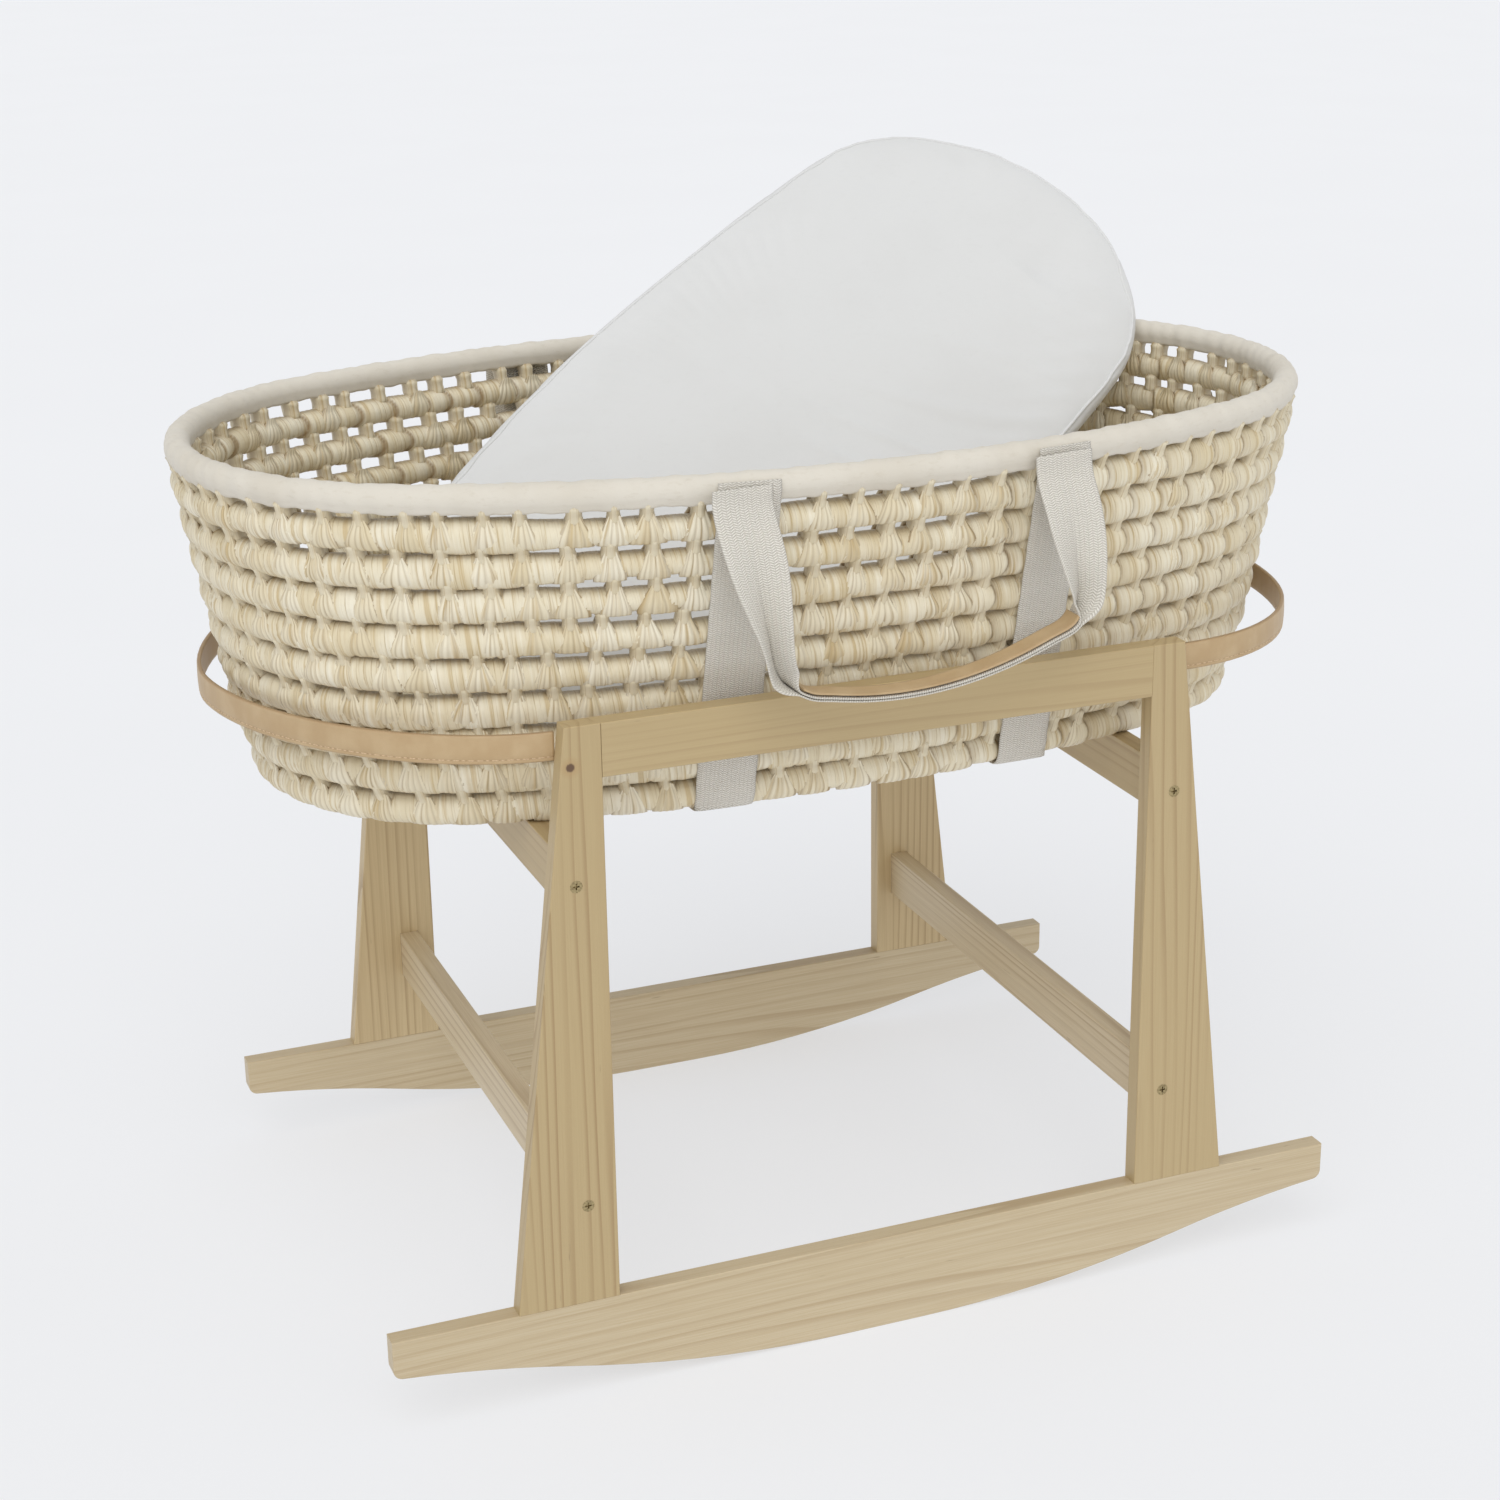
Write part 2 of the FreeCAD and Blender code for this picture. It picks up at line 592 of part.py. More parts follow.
def build_belts():
    screws, rivets = [], []
    for label, normal in (("left", X_AXIS), ("right", None)):
        name = f"{label}_belt"
        line = belt_line(belt_reach(f"belt_{label}_gap"), val(f"belt_{label}_fullness"))
        pieces = [belt_band(name, line)]
        holes, pins = [], []
        for side in (-1, 1):
            tag = f"{name}_{side + 1}"
            start = f"-{FRAME_IN}" if side < 0 else f"{FRAME_IN} - dims.belt_thick"
            pieces.append(box(f"{tag}_tab", "dims.belt_tab", "dims.belt_thick", "dims.belt_width",
                              f"{BELT_X} - dims.belt_tab", start,
                              f"{BELT_Z} - dims.belt_width / 2"))
            where = (f"{BELT_X} - dims.belt_tab / 2", f"{side} * ({FRAME_IN} - dims.belt_thick)",
                     BELT_Z, X_AXIS)
            shank = rod(f"{tag}_shank", "dims.belt_screw_shank", "dims.belt_screw_length",
                        *where, -90 * side)
            head = rod(f"{tag}_head", "dims.belt_screw_radius", "dims.belt_screw_head",
                       *where, 90 * side)
            pins.append(fuse(f"{tag}_screw", [head, shank]))
            holes.append(rod(f"{tag}_hole", "dims.belt_screw_shank + dims.screw_play",
                             "dims.belt_screw_length", *where, -90 * side))
        long_pin = "(dims.belt_thick + 2 * dims.rivet_proud)"
        rivet = rivet_pin(f"{name}_rivet", "dims.rivet_radius", long_pin, line)
        eyelet = rivet_pin(f"{name}_eyelet", "dims.rivet_radius + dims.screw_play", long_pin, line)
        pair = [rivet, mirror(f"{name}_rivet_far", rivet, Y_AXIS)]
        holes += [eyelet, mirror(f"{name}_eyelet_far", eyelet, Y_AXIS)]
        belt = cut(f"{name}_cut", fuse(f"{name}_leather", pieces), fuse(f"{name}_holes", holes))
        if normal is not None:
            belt = mirror(name, belt, normal)
            pins = [mirror(f"{pin.Name}_flipped", pin, normal) for pin in pins]
            pair = [mirror(f"{pin.Name}_flipped", pin, normal) for pin in pair]
        keep(belt, name)
        screws += pins
        rivets += pair
    keep(group("belt_screws", screws), "belt_screws")
    keep(group("belt_rivets", rivets), "belt_rivets")


# ---------------------------------------------------------------- basket
def build_basket():
    half = val("wall_thick / 2")
    seat = rim_z - val("rim_radius")
    outer = basket_envelope("wall_outer", half, basket_z, seat)
    inner = basket_envelope("wall_inner", -half, basket_z, seat)
    keep(cut("basket_wall", outer, inner), "basket_wall")
    slab = box("floor_slab", "4 * dims.base_half_length", "2 * dims.stand_width",
               "dims.floor_thick", "-2 * dims.base_half_length", "-dims.stand_width", BASKET_Z)
    keep(common("basket_floor", inner, slab), "basket_floor")


def rim_tube(name, radius):
    """Round tube along the rim."""
    path = wire(f"{name}_path", rim_oval.edges(rim_z))
    profile = bind(doc.addObject("Part::Circle", f"{name}_profile"), Radius=radius)
    spin = FreeCAD.Rotation(Z_AXIS, path.Shape.Edges[0].tangentAt(path.Shape.Edges[0].FirstParameter))
    profile.Placement = FreeCAD.Placement(path.Shape.Edges[0].Vertexes[0].Point, spin)
    tube = doc.addObject("Part::Sweep", name)
    tube.Sections = [profile]
    tube.Spine = (path, [f"Edge{number}" for number in range(1, 5)])
    tube.Solid = True
    return tube


def build_rim():
    full = rim_tube("rim_full", "dims.rim_radius")
    bore = rim_tube("rim_bore", "dims.rim_radius - dims.binding_thick")
    keep(cut("rim_binding", full, bore), "rim_binding")
    core = rim_tube("rim_core", "dims.rim_radius - dims.binding_thick - dims.binding_gap")
    keep(core, "rim_core")


def build_carry_straps():
    """Webbing from rim to rim, down the walls and across under the floor."""
    near_skin = val("wall_thick / 2 + web_gap")
    far_skin = near_skin + val("web_thick")
    low = basket_z - val("web_gap")
    top = rim_z - val("rim_radius + web_gap")
    for label in ("left", "right"):
        name = f"{label}_carry_strap"
        outer = basket_envelope(f"{name}_outer", far_skin, low - val("web_thick"), top)
        inner = basket_envelope(f"{name}_inner", near_skin, low, top)
        band = box(f"{name}_band", "dims.web_width", "3 * dims.stand_width", RIM_Z,
                   f"dims.{label}_web_x - dims.web_width / 2", "-1.5 * dims.stand_width")
        keep(common(name, cut(f"{name}_skin", outer, inner), band), name)


# ---------------------------------------------------------------- handles
HINGE_Y = -(rim_oval.width + val("rim_radius - hinge_inset"))


def band_section(name, middle, across, through):
    """Rectangle across a band, from its middle and its two half sizes as vectors."""
    corners = [middle - across - through, middle + across - through,
               middle + across + through, middle - across + through]
    edges = []
    for number, corner in enumerate(corners):
        edges.append(Part.LineSegment(corner, corners[(number + 1) % 4]).toShape())
    return wire(name, edges)


LINING_SPANS = 6


def lining_stations():
    """Places along X of the lining's sections, evenly spaced between its ends."""
    left = val("grip_left_x + grip_inset")
    right = val("grip_right_x - grip_inset")
    return [left + (right - left) * number / LINING_SPANS for number in range(LINING_SPANS + 1)]


def grip_sections(name, thick, lift, stations):
    """Sections of a flat band along the grip, at the given places along X."""
    middle_x = val("(grip_left_x + grip_right_x) / 2")
    half_span = val("(grip_right_x - grip_left_x) / 2")
    sections = []
    for number, x in enumerate(stations):
        share = (x - middle_x) / half_span
        low = rim_z - val("handle_drop")
        z = low + val("handle_bow") * share ** 2 + val("handle_skew / 2") * share
        slope = (2 * val("handle_bow") * share + val("handle_skew / 2")) / half_span
        up = V(-slope, 0, 1).normalize()
        middle = V(x, HINGE_Y - val("handle_reach"), z) + up * lift
        sections.append(band_section(f"{name}_grip_{number}", middle,
                                     V(0, val("grip_width / 2"), 0), up * (thick / 2)))
    return sections


def web_sections(name, side, grip_end):
    """Sections of a handle's webbing from the fold line down to the grip's end."""
    web = V(-side * val("web_width / 2"), 0, 0)
    thin = V(0, -val("web_thick / 2"), 0)
    top_x = val("handle_left_x" if side < 0 else "handle_right_x")
    drop = rim_z - val("web_thick / 2") - grip_end.z
    top = V(top_x, HINGE_Y, rim_z - val("web_thick / 2"))
    middle_x = (top_x + grip_end.x) / 2 + side * val("web_side_bow")
    middle = V(middle_x, HINGE_Y - val("handle_bulge"), top.z - drop / 2)
    return [band_section(f"{name}_top", top, web, thin),
            band_section(f"{name}_middle", middle, web * 0.83, thin)]


def build_handles():
    fold = val("2 * web_thick")
    stations = lining_stations()
    ends = [val("grip_left_x")] + stations + [val("grip_right_x")]
    bands = grip_sections("near_web", fold, 0, ends)
    left_end = bands[0].Shape.CenterOfMass
    right_end = bands[-1].Shape.CenterOfMass
    left = web_sections("near_web_left", -1, left_end)
    right = web_sections("near_web_right", 1, right_end)
    webbing = keep(loft("near_handle_webbing", left + bands + right[::-1]), "near_handle_webbing")
    lift = fold / 2 + val("grip_thick / 2")
    lining = grip_sections("near_lining", val("grip_thick"), lift, stations)
    grip = loft("near_handle_grip", lining)
    keep(grip, "near_handle_grip")
    keep(mirror("far_handle_webbing", webbing, Y_AXIS), "far_handle_webbing")
    keep(mirror("far_handle_grip", grip, Y_AXIS), "far_handle_grip")


# ---------------------------------------------------------------- mattress
def mattress_spin():
    turn = FreeCAD.Rotation(Z_AXIS, val("mattress_turn"))
    return FreeCAD.Rotation(X_AXIS, val("mattress_lean")).multiply(turn)


def mattress_rest():
    """Lowest centre height at which the leaning mattress clears rim, walls and floor."""
    spin = mattress_spin()
    outline = Oval(val("mattress_half_length"), val("mattress_half_width"),
                   val("mattress_end_radius"))
    half = val("mattress_thick / 2")
    gap = val("rest_gap")
    core = val("rim_radius") + gap
    inside = -val("wall_thick / 2") - gap
    rim = [point + V(0, 0, rim_z) for point in rim_oval.points(240)]
    edge = val("mattress_edge")
    corners = [(0, half - edge), (0, edge - half), (edge, half), (edge, -half)]
    skin = []
    for inset, level in corners:
        for point in outline.grown(-inset).points(180):
            skin.append(spin.multVec(V(point.x, point.y, level)))

    def clears(centre):
        for point in rim:
            local = spin.inverted().multVec(point - centre)
            beyond = max(outline.distance(local.x, local.y) + edge, 0)
            above = max(abs(local.z) - half + edge, 0)
            if math.hypot(beyond, above) - edge < core:
                return False
        for offset in skin:
            point = centre + offset
            if point.z < basket_z + val("floor_thick") + gap:
                return False
            if point.z < rim_z and wall_oval(point.z).distance(point.x, point.y) > inside:
                return False
        return True

    low, high = basket_z, rim_z + val("mattress_half_length + mattress_half_width")
    for _ in range(24):
        middle = (low + high) / 2
        centre = V(val("mattress_shift_x"), val("mattress_shift_y"), middle)
        if clears(centre):
            high = middle
        else:
            low = middle
    return V(val("mattress_shift_x"), val("mattress_shift_y"), high)


def cushion(name, shrink):
    """Oval slab with rounded edges, centred on the origin."""
    outline = Oval(val("mattress_half_length"), val("mattress_half_width"),
                   val("mattress_end_radius")).grown(-shrink)
    thick = val("mattress_thick") - 2 * shrink
    slab = extrude(f"{name}_slab", wire(f"{name}_outline", outline.edges(-thick / 2)), Z_AXIS,
                   f"dims.mattress_thick - 2 * {shrink}")
    doc.recompute()
    level = thick / 2 - 1e-3
    return rounded(name, slab, val("mattress_edge") - shrink,
                   lambda edge: abs(edge.CenterOfMass.z) > level)


def build_mattress():
    resting = FreeCAD.Placement(mattress_rest(), mattress_spin())
    skin = val("cover_thick")
    foam = cushion("mattress_foam", skin)
    cover = cut("mattress_cover", cushion("cover_outside", 0), cushion("cover_inside", skin))
    for item, label in ((foam, "mattress_foam"), (cover, "mattress_cover")):
        item.Placement = resting
        keep(item, label)


# ---------------------------------------------------------------- build, check, export
build_rockers()
build_legs()
build_rails()
build_bars()
build_fasteners()
build_belts()
build_basket()
build_rim()
build_carry_straps()
build_handles()
build_mattress()
doc.recompute()

failed = [item.Name for item in doc.Objects if {"Invalid", "Error"} & set(item.State)]
if failed:
    raise RuntimeError(f"objects failed to compute: {failed}")
for label, item in parts.items():
    if item.Shape.isNull() or not item.Shape.isValid() or not item.Shape.Solids:
        raise RuntimeError(f"{label} has no valid solid")

os.makedirs("parts", exist_ok=True)
for label, item in parts.items():
    item.Shape.exportStep(f"parts/{label}.step")
    size = item.Shape.BoundBox
    print(f"{label}: {len(item.Shape.Solids)} solid(s), {size.XLength:.1f} x "
          f"{size.YLength:.1f} x {size.ZLength:.1f} mm")
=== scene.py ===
"""Moses basket on a rocking stand: finishes, soft goods and studio.

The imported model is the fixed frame. Wooden boards and screws keep their shape and get
new finishes. The coiled husk basket, its cotton binding, webbing, leather belts and
mattress are made here in full detail and take the place of their plain solids.
All lengths are in metres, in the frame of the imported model.
"""
import logging
import math
from dataclasses import dataclass, field
from enum import Enum
from random import Random
from typing import Sequence, Union

import bpy
import numpy as np
from mathutils import Euler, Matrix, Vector
from mathutils.bvhtree import BVHTree


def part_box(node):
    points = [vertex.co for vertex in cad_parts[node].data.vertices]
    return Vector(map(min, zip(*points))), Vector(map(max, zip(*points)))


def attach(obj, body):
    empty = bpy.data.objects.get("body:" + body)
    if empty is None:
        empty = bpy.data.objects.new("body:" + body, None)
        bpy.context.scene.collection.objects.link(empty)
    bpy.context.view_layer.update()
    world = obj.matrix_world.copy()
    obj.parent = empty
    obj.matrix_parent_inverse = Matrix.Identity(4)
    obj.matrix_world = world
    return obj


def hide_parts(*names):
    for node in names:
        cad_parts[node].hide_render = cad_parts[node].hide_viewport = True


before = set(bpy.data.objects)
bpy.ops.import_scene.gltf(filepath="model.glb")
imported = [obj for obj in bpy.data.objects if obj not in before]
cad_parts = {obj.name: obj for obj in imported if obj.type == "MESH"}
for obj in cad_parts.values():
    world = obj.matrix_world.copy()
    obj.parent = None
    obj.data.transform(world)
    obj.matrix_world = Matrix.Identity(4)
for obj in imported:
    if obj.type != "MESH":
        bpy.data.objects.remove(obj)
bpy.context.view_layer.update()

LOG = logging.getLogger("moses_basket")
MM = 0.001
TAU = 2 * math.pi
Colour = tuple[float, float, float]
Place = tuple[float, float, float]
Socket = bpy.types.NodeSocket
Level = Union[bpy.types.NodeSocket, float]


# ---------------------------------------------------------------- small mathematics
def smooth(low: float, high: float, value: np.ndarray | float) -> np.ndarray | float:
    """Smooth step from 0 to 1 between two levels.

    Args:
        low: Level where the step starts.
        high: Level where the step ends; it may be below low.
        value: Number or array to test.
    Returns:
        Share from 0 to 1.
    """
    share = np.clip((value - low) / (high - low), 0.0, 1.0)
    return share * share * (3 - 2 * share)


def spline(points: Sequence[Sequence[float]], count: int) -> np.ndarray:
    """Smooth line through points, with stations evenly spaced along it.

    Args:
        points: Points that the line passes through.
        count: Number of stations wanted.
    Returns:
        Array of stations, one row each.
    """
    given = np.array(points, float)
    padded = np.vstack([2 * given[0] - given[1], given, 2 * given[-1] - given[-2]])
    steps = np.linspace(0, 1, 24, endpoint=False)[:, None]
    dense = []
    for start in range(len(given) - 1):
        p0, p1, p2, p3 = padded[start:start + 4]
        dense.append(0.5 * (2 * p1 + (p2 - p0) * steps + (2 * p0 - 5 * p1 + 4 * p2 - p3) * steps**2
                            + (3 * p1 - p0 - 3 * p2 + p3) * steps**3))
    line = np.vstack(dense + [given[-1:]])
    return evenly(line, count)


def travelled(line: np.ndarray) -> np.ndarray:
    """Distance of every station from the first."""
    return np.concatenate([[0], np.cumsum(np.linalg.norm(np.diff(line, axis=0), axis=1))])


def evenly(line: np.ndarray, count: int) -> np.ndarray:
    """Stations evenly spaced along a dense line of points."""
    along = travelled(line)
    wanted = np.linspace(0, along[-1], count)
    return np.stack([np.interp(wanted, along, line[:, axis]) for axis in range(3)], axis=1)


def directions(line: np.ndarray) -> np.ndarray:
    """Unit headings along a line of stations."""
    heading = np.gradient(line, axis=0)
    return heading / np.linalg.norm(heading, axis=1)[:, None]


def unit(vectors: np.ndarray) -> np.ndarray:
    """Vectors scaled to length one along their last axis."""
    return vectors / np.linalg.norm(vectors, axis=-1, keepdims=True)


@dataclass(frozen=True)
class Oval:
    """Closed curve of four tangent arcs: half length, half width and end radius."""

    length: float
    width: float
    end: float

    @property
    def side(self) -> float:
        """Radius of the two side arcs."""
        squares = self.length**2 + self.width**2 - 2 * self.length * self.end
        return squares / (2 * (self.width - self.end))

    @property
    def turn(self) -> float:
        """Half the angle that an end arc covers."""
        return math.atan2(self.side - self.width, self.length - self.end)

    @property
    def perimeter(self) -> float:
        """Length once round."""
        return 2 * (self.end * 2 * self.turn + self.side * (math.pi - 2 * self.turn))

    def grown(self, by: float) -> "Oval":
        """Parallel oval, further out by a distance."""
        return Oval(self.length + by, self.width + by, self.end + by)

    def mixed(self, other: "Oval", share: float) -> "Oval":
        """Oval between this one and another."""
        return Oval(self.length + (other.length - self.length) * share,
                    self.width + (other.width - self.width) * share,
                    self.end + (other.end - self.end) * share)

    def side_y(self, x: np.ndarray) -> np.ndarray:
        """Half width of the oval's side at places along its length."""
        return np.sqrt(self.side**2 - x**2) - (self.side - self.width)

    def at(self, along: np.ndarray) -> tuple[np.ndarray, np.ndarray]:
        """Points and outward normals at distances round the oval.

        Args:
            along: Distances, counter-clockwise from the near right corner.
        Returns:
            Two arrays of (x, y, 0) rows.
        """
        end_arc = self.end * 2 * self.turn
        side_arc = self.side * (math.pi - 2 * self.turn)
        starts = np.cumsum([0, end_arc, side_arc, end_arc])
        place = np.mod(along, self.perimeter)
        which = np.searchsorted(starts, place, side="right") - 1
        radius = np.where(which % 2 == 0, self.end, self.side)
        first = np.array([-self.turn, self.turn, math.pi - self.turn, math.pi + self.turn])
        angle = first[which] + (place - starts[which]) / radius
        end_x, side_y = self.length - self.end, self.side - self.width
        centre_x = np.array([end_x, 0, -end_x, 0])[which]
        centre_y = np.array([0, -side_y, 0, side_y])[which]
        normal = np.stack([np.cos(angle), np.sin(angle), np.zeros_like(angle)], axis=-1)
        centre = np.stack([centre_x, centre_y, np.zeros_like(angle)], axis=-1)
        return centre + normal * radius[..., None], normal


# ---------------------------------------------------------------- meshes
class MeshBatch:
    """Collects patches of quads, with texture coordinates and tones, into one mesh."""

    def __init__(self) -> None:
        """Start with nothing."""
        self.points: list[np.ndarray] = []
        self.faces: list[np.ndarray] = []
        self.caps: list[list[int]] = []
        self.uvs: list[np.ndarray] = []
        self.cap_uvs: list[np.ndarray] = []
        self.tones: list[np.ndarray] = []
        self.crease_shades: list[np.ndarray] = []
        self.size = 0

    def patch(self, points: np.ndarray, uv: np.ndarray, closed: tuple[bool, bool],
              tone: np.ndarray | float = 0.5, crease_shade: np.ndarray | float = 0.0,
              capped: bool = False) -> None:
        """Add a grid of quads.

        Args:
            points: Array of rows x columns x 3.
            uv: Array of (rows + closed) x (columns + closed) x 2.
            closed: Whether rows and columns join up.
            tone: Light or dark share of the grid's points.
            crease_shade: Depth of shadow lines at the grid's points.
            capped: Whether the first and last row are closed with a face.
        """
        rows, columns = points.shape[:2]
        last_row = rows if closed[0] else rows - 1
        last_column = columns if closed[1] else columns - 1
        i, j = np.meshgrid(np.arange(last_row), np.arange(last_column), indexing="ij")
        i, j = i.ravel(), j.ravel()
        corners = [(i, j), (i + 1, j), (i + 1, j + 1), (i, j + 1)]
        index = [self.size + (a % rows) * columns + (b % columns) for a, b in corners]
        self.faces.append(np.stack(index, axis=1))
        self.uvs.append(np.stack([uv[a, b] for a, b in corners], axis=1).reshape(-1, 2))
        self.points.append(points.reshape(-1, 3))
        for store, given in ((self.tones, tone), (self.crease_shades, crease_shade)):
            store.append(np.broadcast_to(given, (rows, columns)).ravel().astype(np.float32))
        if capped:
            ring = np.arange(columns)
            self.caps.append((self.size + ring).tolist())
            self.cap_uvs.append(uv[0, ring])
            self.caps.append((self.size + (rows - 1) * columns + ring)[::-1].tolist())
            self.cap_uvs.append(uv[-1, ring[::-1]])
        self.size += rows * columns

    def to_object(self, name: str, material: bpy.types.Material) -> bpy.types.Object:
        """Make the collected mesh an object of the scene.

        Args:
            name: Name of the piece.
            material: Finish of the piece.
        Returns:
            The new object.
        """
        points = np.vstack(self.points)
        faces = np.vstack(self.faces).tolist() + self.caps
        mesh = bpy.data.meshes.new(name)
        mesh.from_pydata(points.tolist(), [], faces)
        uv_layer = mesh.uv_layers.new(name="surface")
        uv_layer.data.foreach_set("uv", np.vstack(self.uvs + self.cap_uvs).astype(np.float32).ravel())
        # tone is the random colour of each wrap; crease is painted shade that the husk and belt finishes
        # darken with.
        for label, stores in (("tone", self.tones), ("crease_shade", self.crease_shades)):
            attribute = mesh.attributes.new(label, "FLOAT", "POINT")
            attribute.data.foreach_set("value", np.concatenate(stores))
        mesh.polygons.foreach_set("use_smooth", np.ones(len(mesh.polygons), bool))
        mesh.materials.append(material)
        mesh.update()
        piece = bpy.data.objects.new(name, mesh)
        bpy.context.scene.collection.objects.link(piece)
        LOG.info("%s: %d points", name, len(points))
        return piece


def grid_uv(along: np.ndarray, across: np.ndarray) -> np.ndarray:
    """Texture coordinates of a grid from two lists of distances."""
    u, v = np.meshgrid(along, across, indexing="ij")
    return np.stack([u, v], axis=-1)


def present(piece: bpy.types.Object, body: str, slot: str, *nodes: str) -> bpy.types.Object:
    """Let a piece ride a body and stand for plain solids."""
    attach(piece, body)
    if nodes:
        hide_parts(*nodes)
    return piece


# ---------------------------------------------------------------- finishes
class Shader:
    """Node tree of one material, with short calls for the nodes it needs."""

    def __init__(self, name: str) -> None:
        """Make an empty material with one Principled shader."""
        self.material = bpy.data.materials.new(name)
        self.material.use_nodes = True
        self.tree = self.material.node_tree
        self.tree.nodes.clear()
        output = self.tree.nodes.new("ShaderNodeOutputMaterial")
        self.surface = self.tree.nodes.new("ShaderNodeBsdfPrincipled")
        self.tree.links.new(self.surface.outputs[0], output.inputs["Surface"])

    def node(self, kind: str, settings: dict[str, object] | None = None,
             **inputs: object) -> bpy.types.Node:
        """Add a node.

        Args:
            kind: Node type without its ShaderNode prefix.
            settings: Properties of the node.
            inputs: Sockets by name, with _ for a space, or by in0, in1 for a position.
        Returns:
            The new node.
        """
        made = self.tree.nodes.new("ShaderNode" + kind)
        for label, value in (settings or {}).items():
            setattr(made, label, value)
        for label, value in inputs.items():
            key = int(label[2:]) if label[:2] == "in" and label[2:].isdigit() else label.replace("_", " ")
            if isinstance(value, Socket):
                self.tree.links.new(value, made.inputs[key])
            else:
                made.inputs[key].default_value = value
        return made

    def math(self, operation: str, first: Level, second: Level = 0.0) -> Socket:
        """One Math node."""
        return self.node("Math", {"operation": operation}, in0=first, in1=second).outputs[0]

    def vector(self, operation: str, first: Socket, second: Socket | Place) -> bpy.types.Node:
        """One Vector Math node."""
        return self.node("VectorMath", {"operation": operation}, in0=first, in1=second)

    def mapped(self, source: Socket, scale: Sequence[float]) -> Socket:
        """Coordinates scaled along each axis."""
        return self.node("Mapping", Vector=source, Scale=scale).outputs[0]

    def noise(self, where: Socket, scale: float, detail: float = 2.0, rough: float = 0.5) -> Socket:
        """Value of a noise texture."""
        return self.node("TexNoise", Vector=where, Scale=scale, Detail=detail, Roughness=rough).outputs[0]

    def ramp(self, factor: Socket, low: float, high: float) -> Socket:
        """Smooth share of a value between two levels."""
        return self.node("MapRange", {"interpolation_type": "SMOOTHSTEP"}, Value=factor,
                         From_Min=low, From_Max=high).outputs[0]

    def spread(self, factor: Socket, low: float, high: float) -> Socket:
        """Value from 0 to 1 carried over to the range between two levels."""
        return self.node("MapRange", Value=factor, To_Min=low, To_Max=high).outputs[0]

    def blend(self, factor: Level, first: Socket | Colour, second: Socket | Colour) -> Socket:
        """Mix two colours."""
        made = self.node("Mix", {"data_type": "RGBA"})
        for key, value in ((0, factor), (6, first), (7, second)):
            if isinstance(value, Socket):
                self.tree.links.new(value, made.inputs[key])
            else:
                made.inputs[key].default_value = value if key == 0 else (*value, 1)
        return made.outputs[2]

    def tint(self, colour: Socket | Colour, towards: Socket | Colour, where: Socket,
             amount: float) -> Socket:
        """Bring a colour closer to another one, by an amount, where a mask says so."""
        return self.blend(self.math("MULTIPLY", where, amount), colour, towards)

    def mean(self, first: Socket, amount: float, second: Socket, other: float) -> Socket:
        """Sum of two values, each with its own weight."""
        return self.math("ADD", self.math("MULTIPLY", first, amount), self.math("MULTIPLY", second, other))

    def finish(self, colour: Socket | Colour, roughness: Level, height: Socket | None = None,
               depth: float = 0.0, **sockets: object) -> bpy.types.Material:
        """Connect colour, roughness and relief, and set even values.

        Args:
            colour: Socket or colour of the surface.
            roughness: Socket or number.
            height: Socket of the relief, from 0 to 1.
            depth: Depth of the relief in metres.
            sockets: Further even values of the shader by name.
        Returns:
            The finished material.
        """
        wanted = {"Base Color": colour, "Roughness": roughness}
        if height is not None:
            bump = self.node("Bump", Strength=1.0, Distance=depth, Height=height)
            wanted["Normal"] = bump.outputs[0]
        for label, value in wanted.items():
            if isinstance(value, Socket):
                self.tree.links.new(value, self.surface.inputs[label])
            else:
                self.surface.inputs[label].default_value = (*value, 1) if label == "Base Color" else value
        for label, value in sockets.items():
            self.surface.inputs[label.replace("_", " ")].default_value = value
        return self.material


class Grain(Enum):
    """Axis that a board's fibres follow."""

    LENGTHWISE = 0
    CROSSWISE = 1
    UPRIGHT = 2


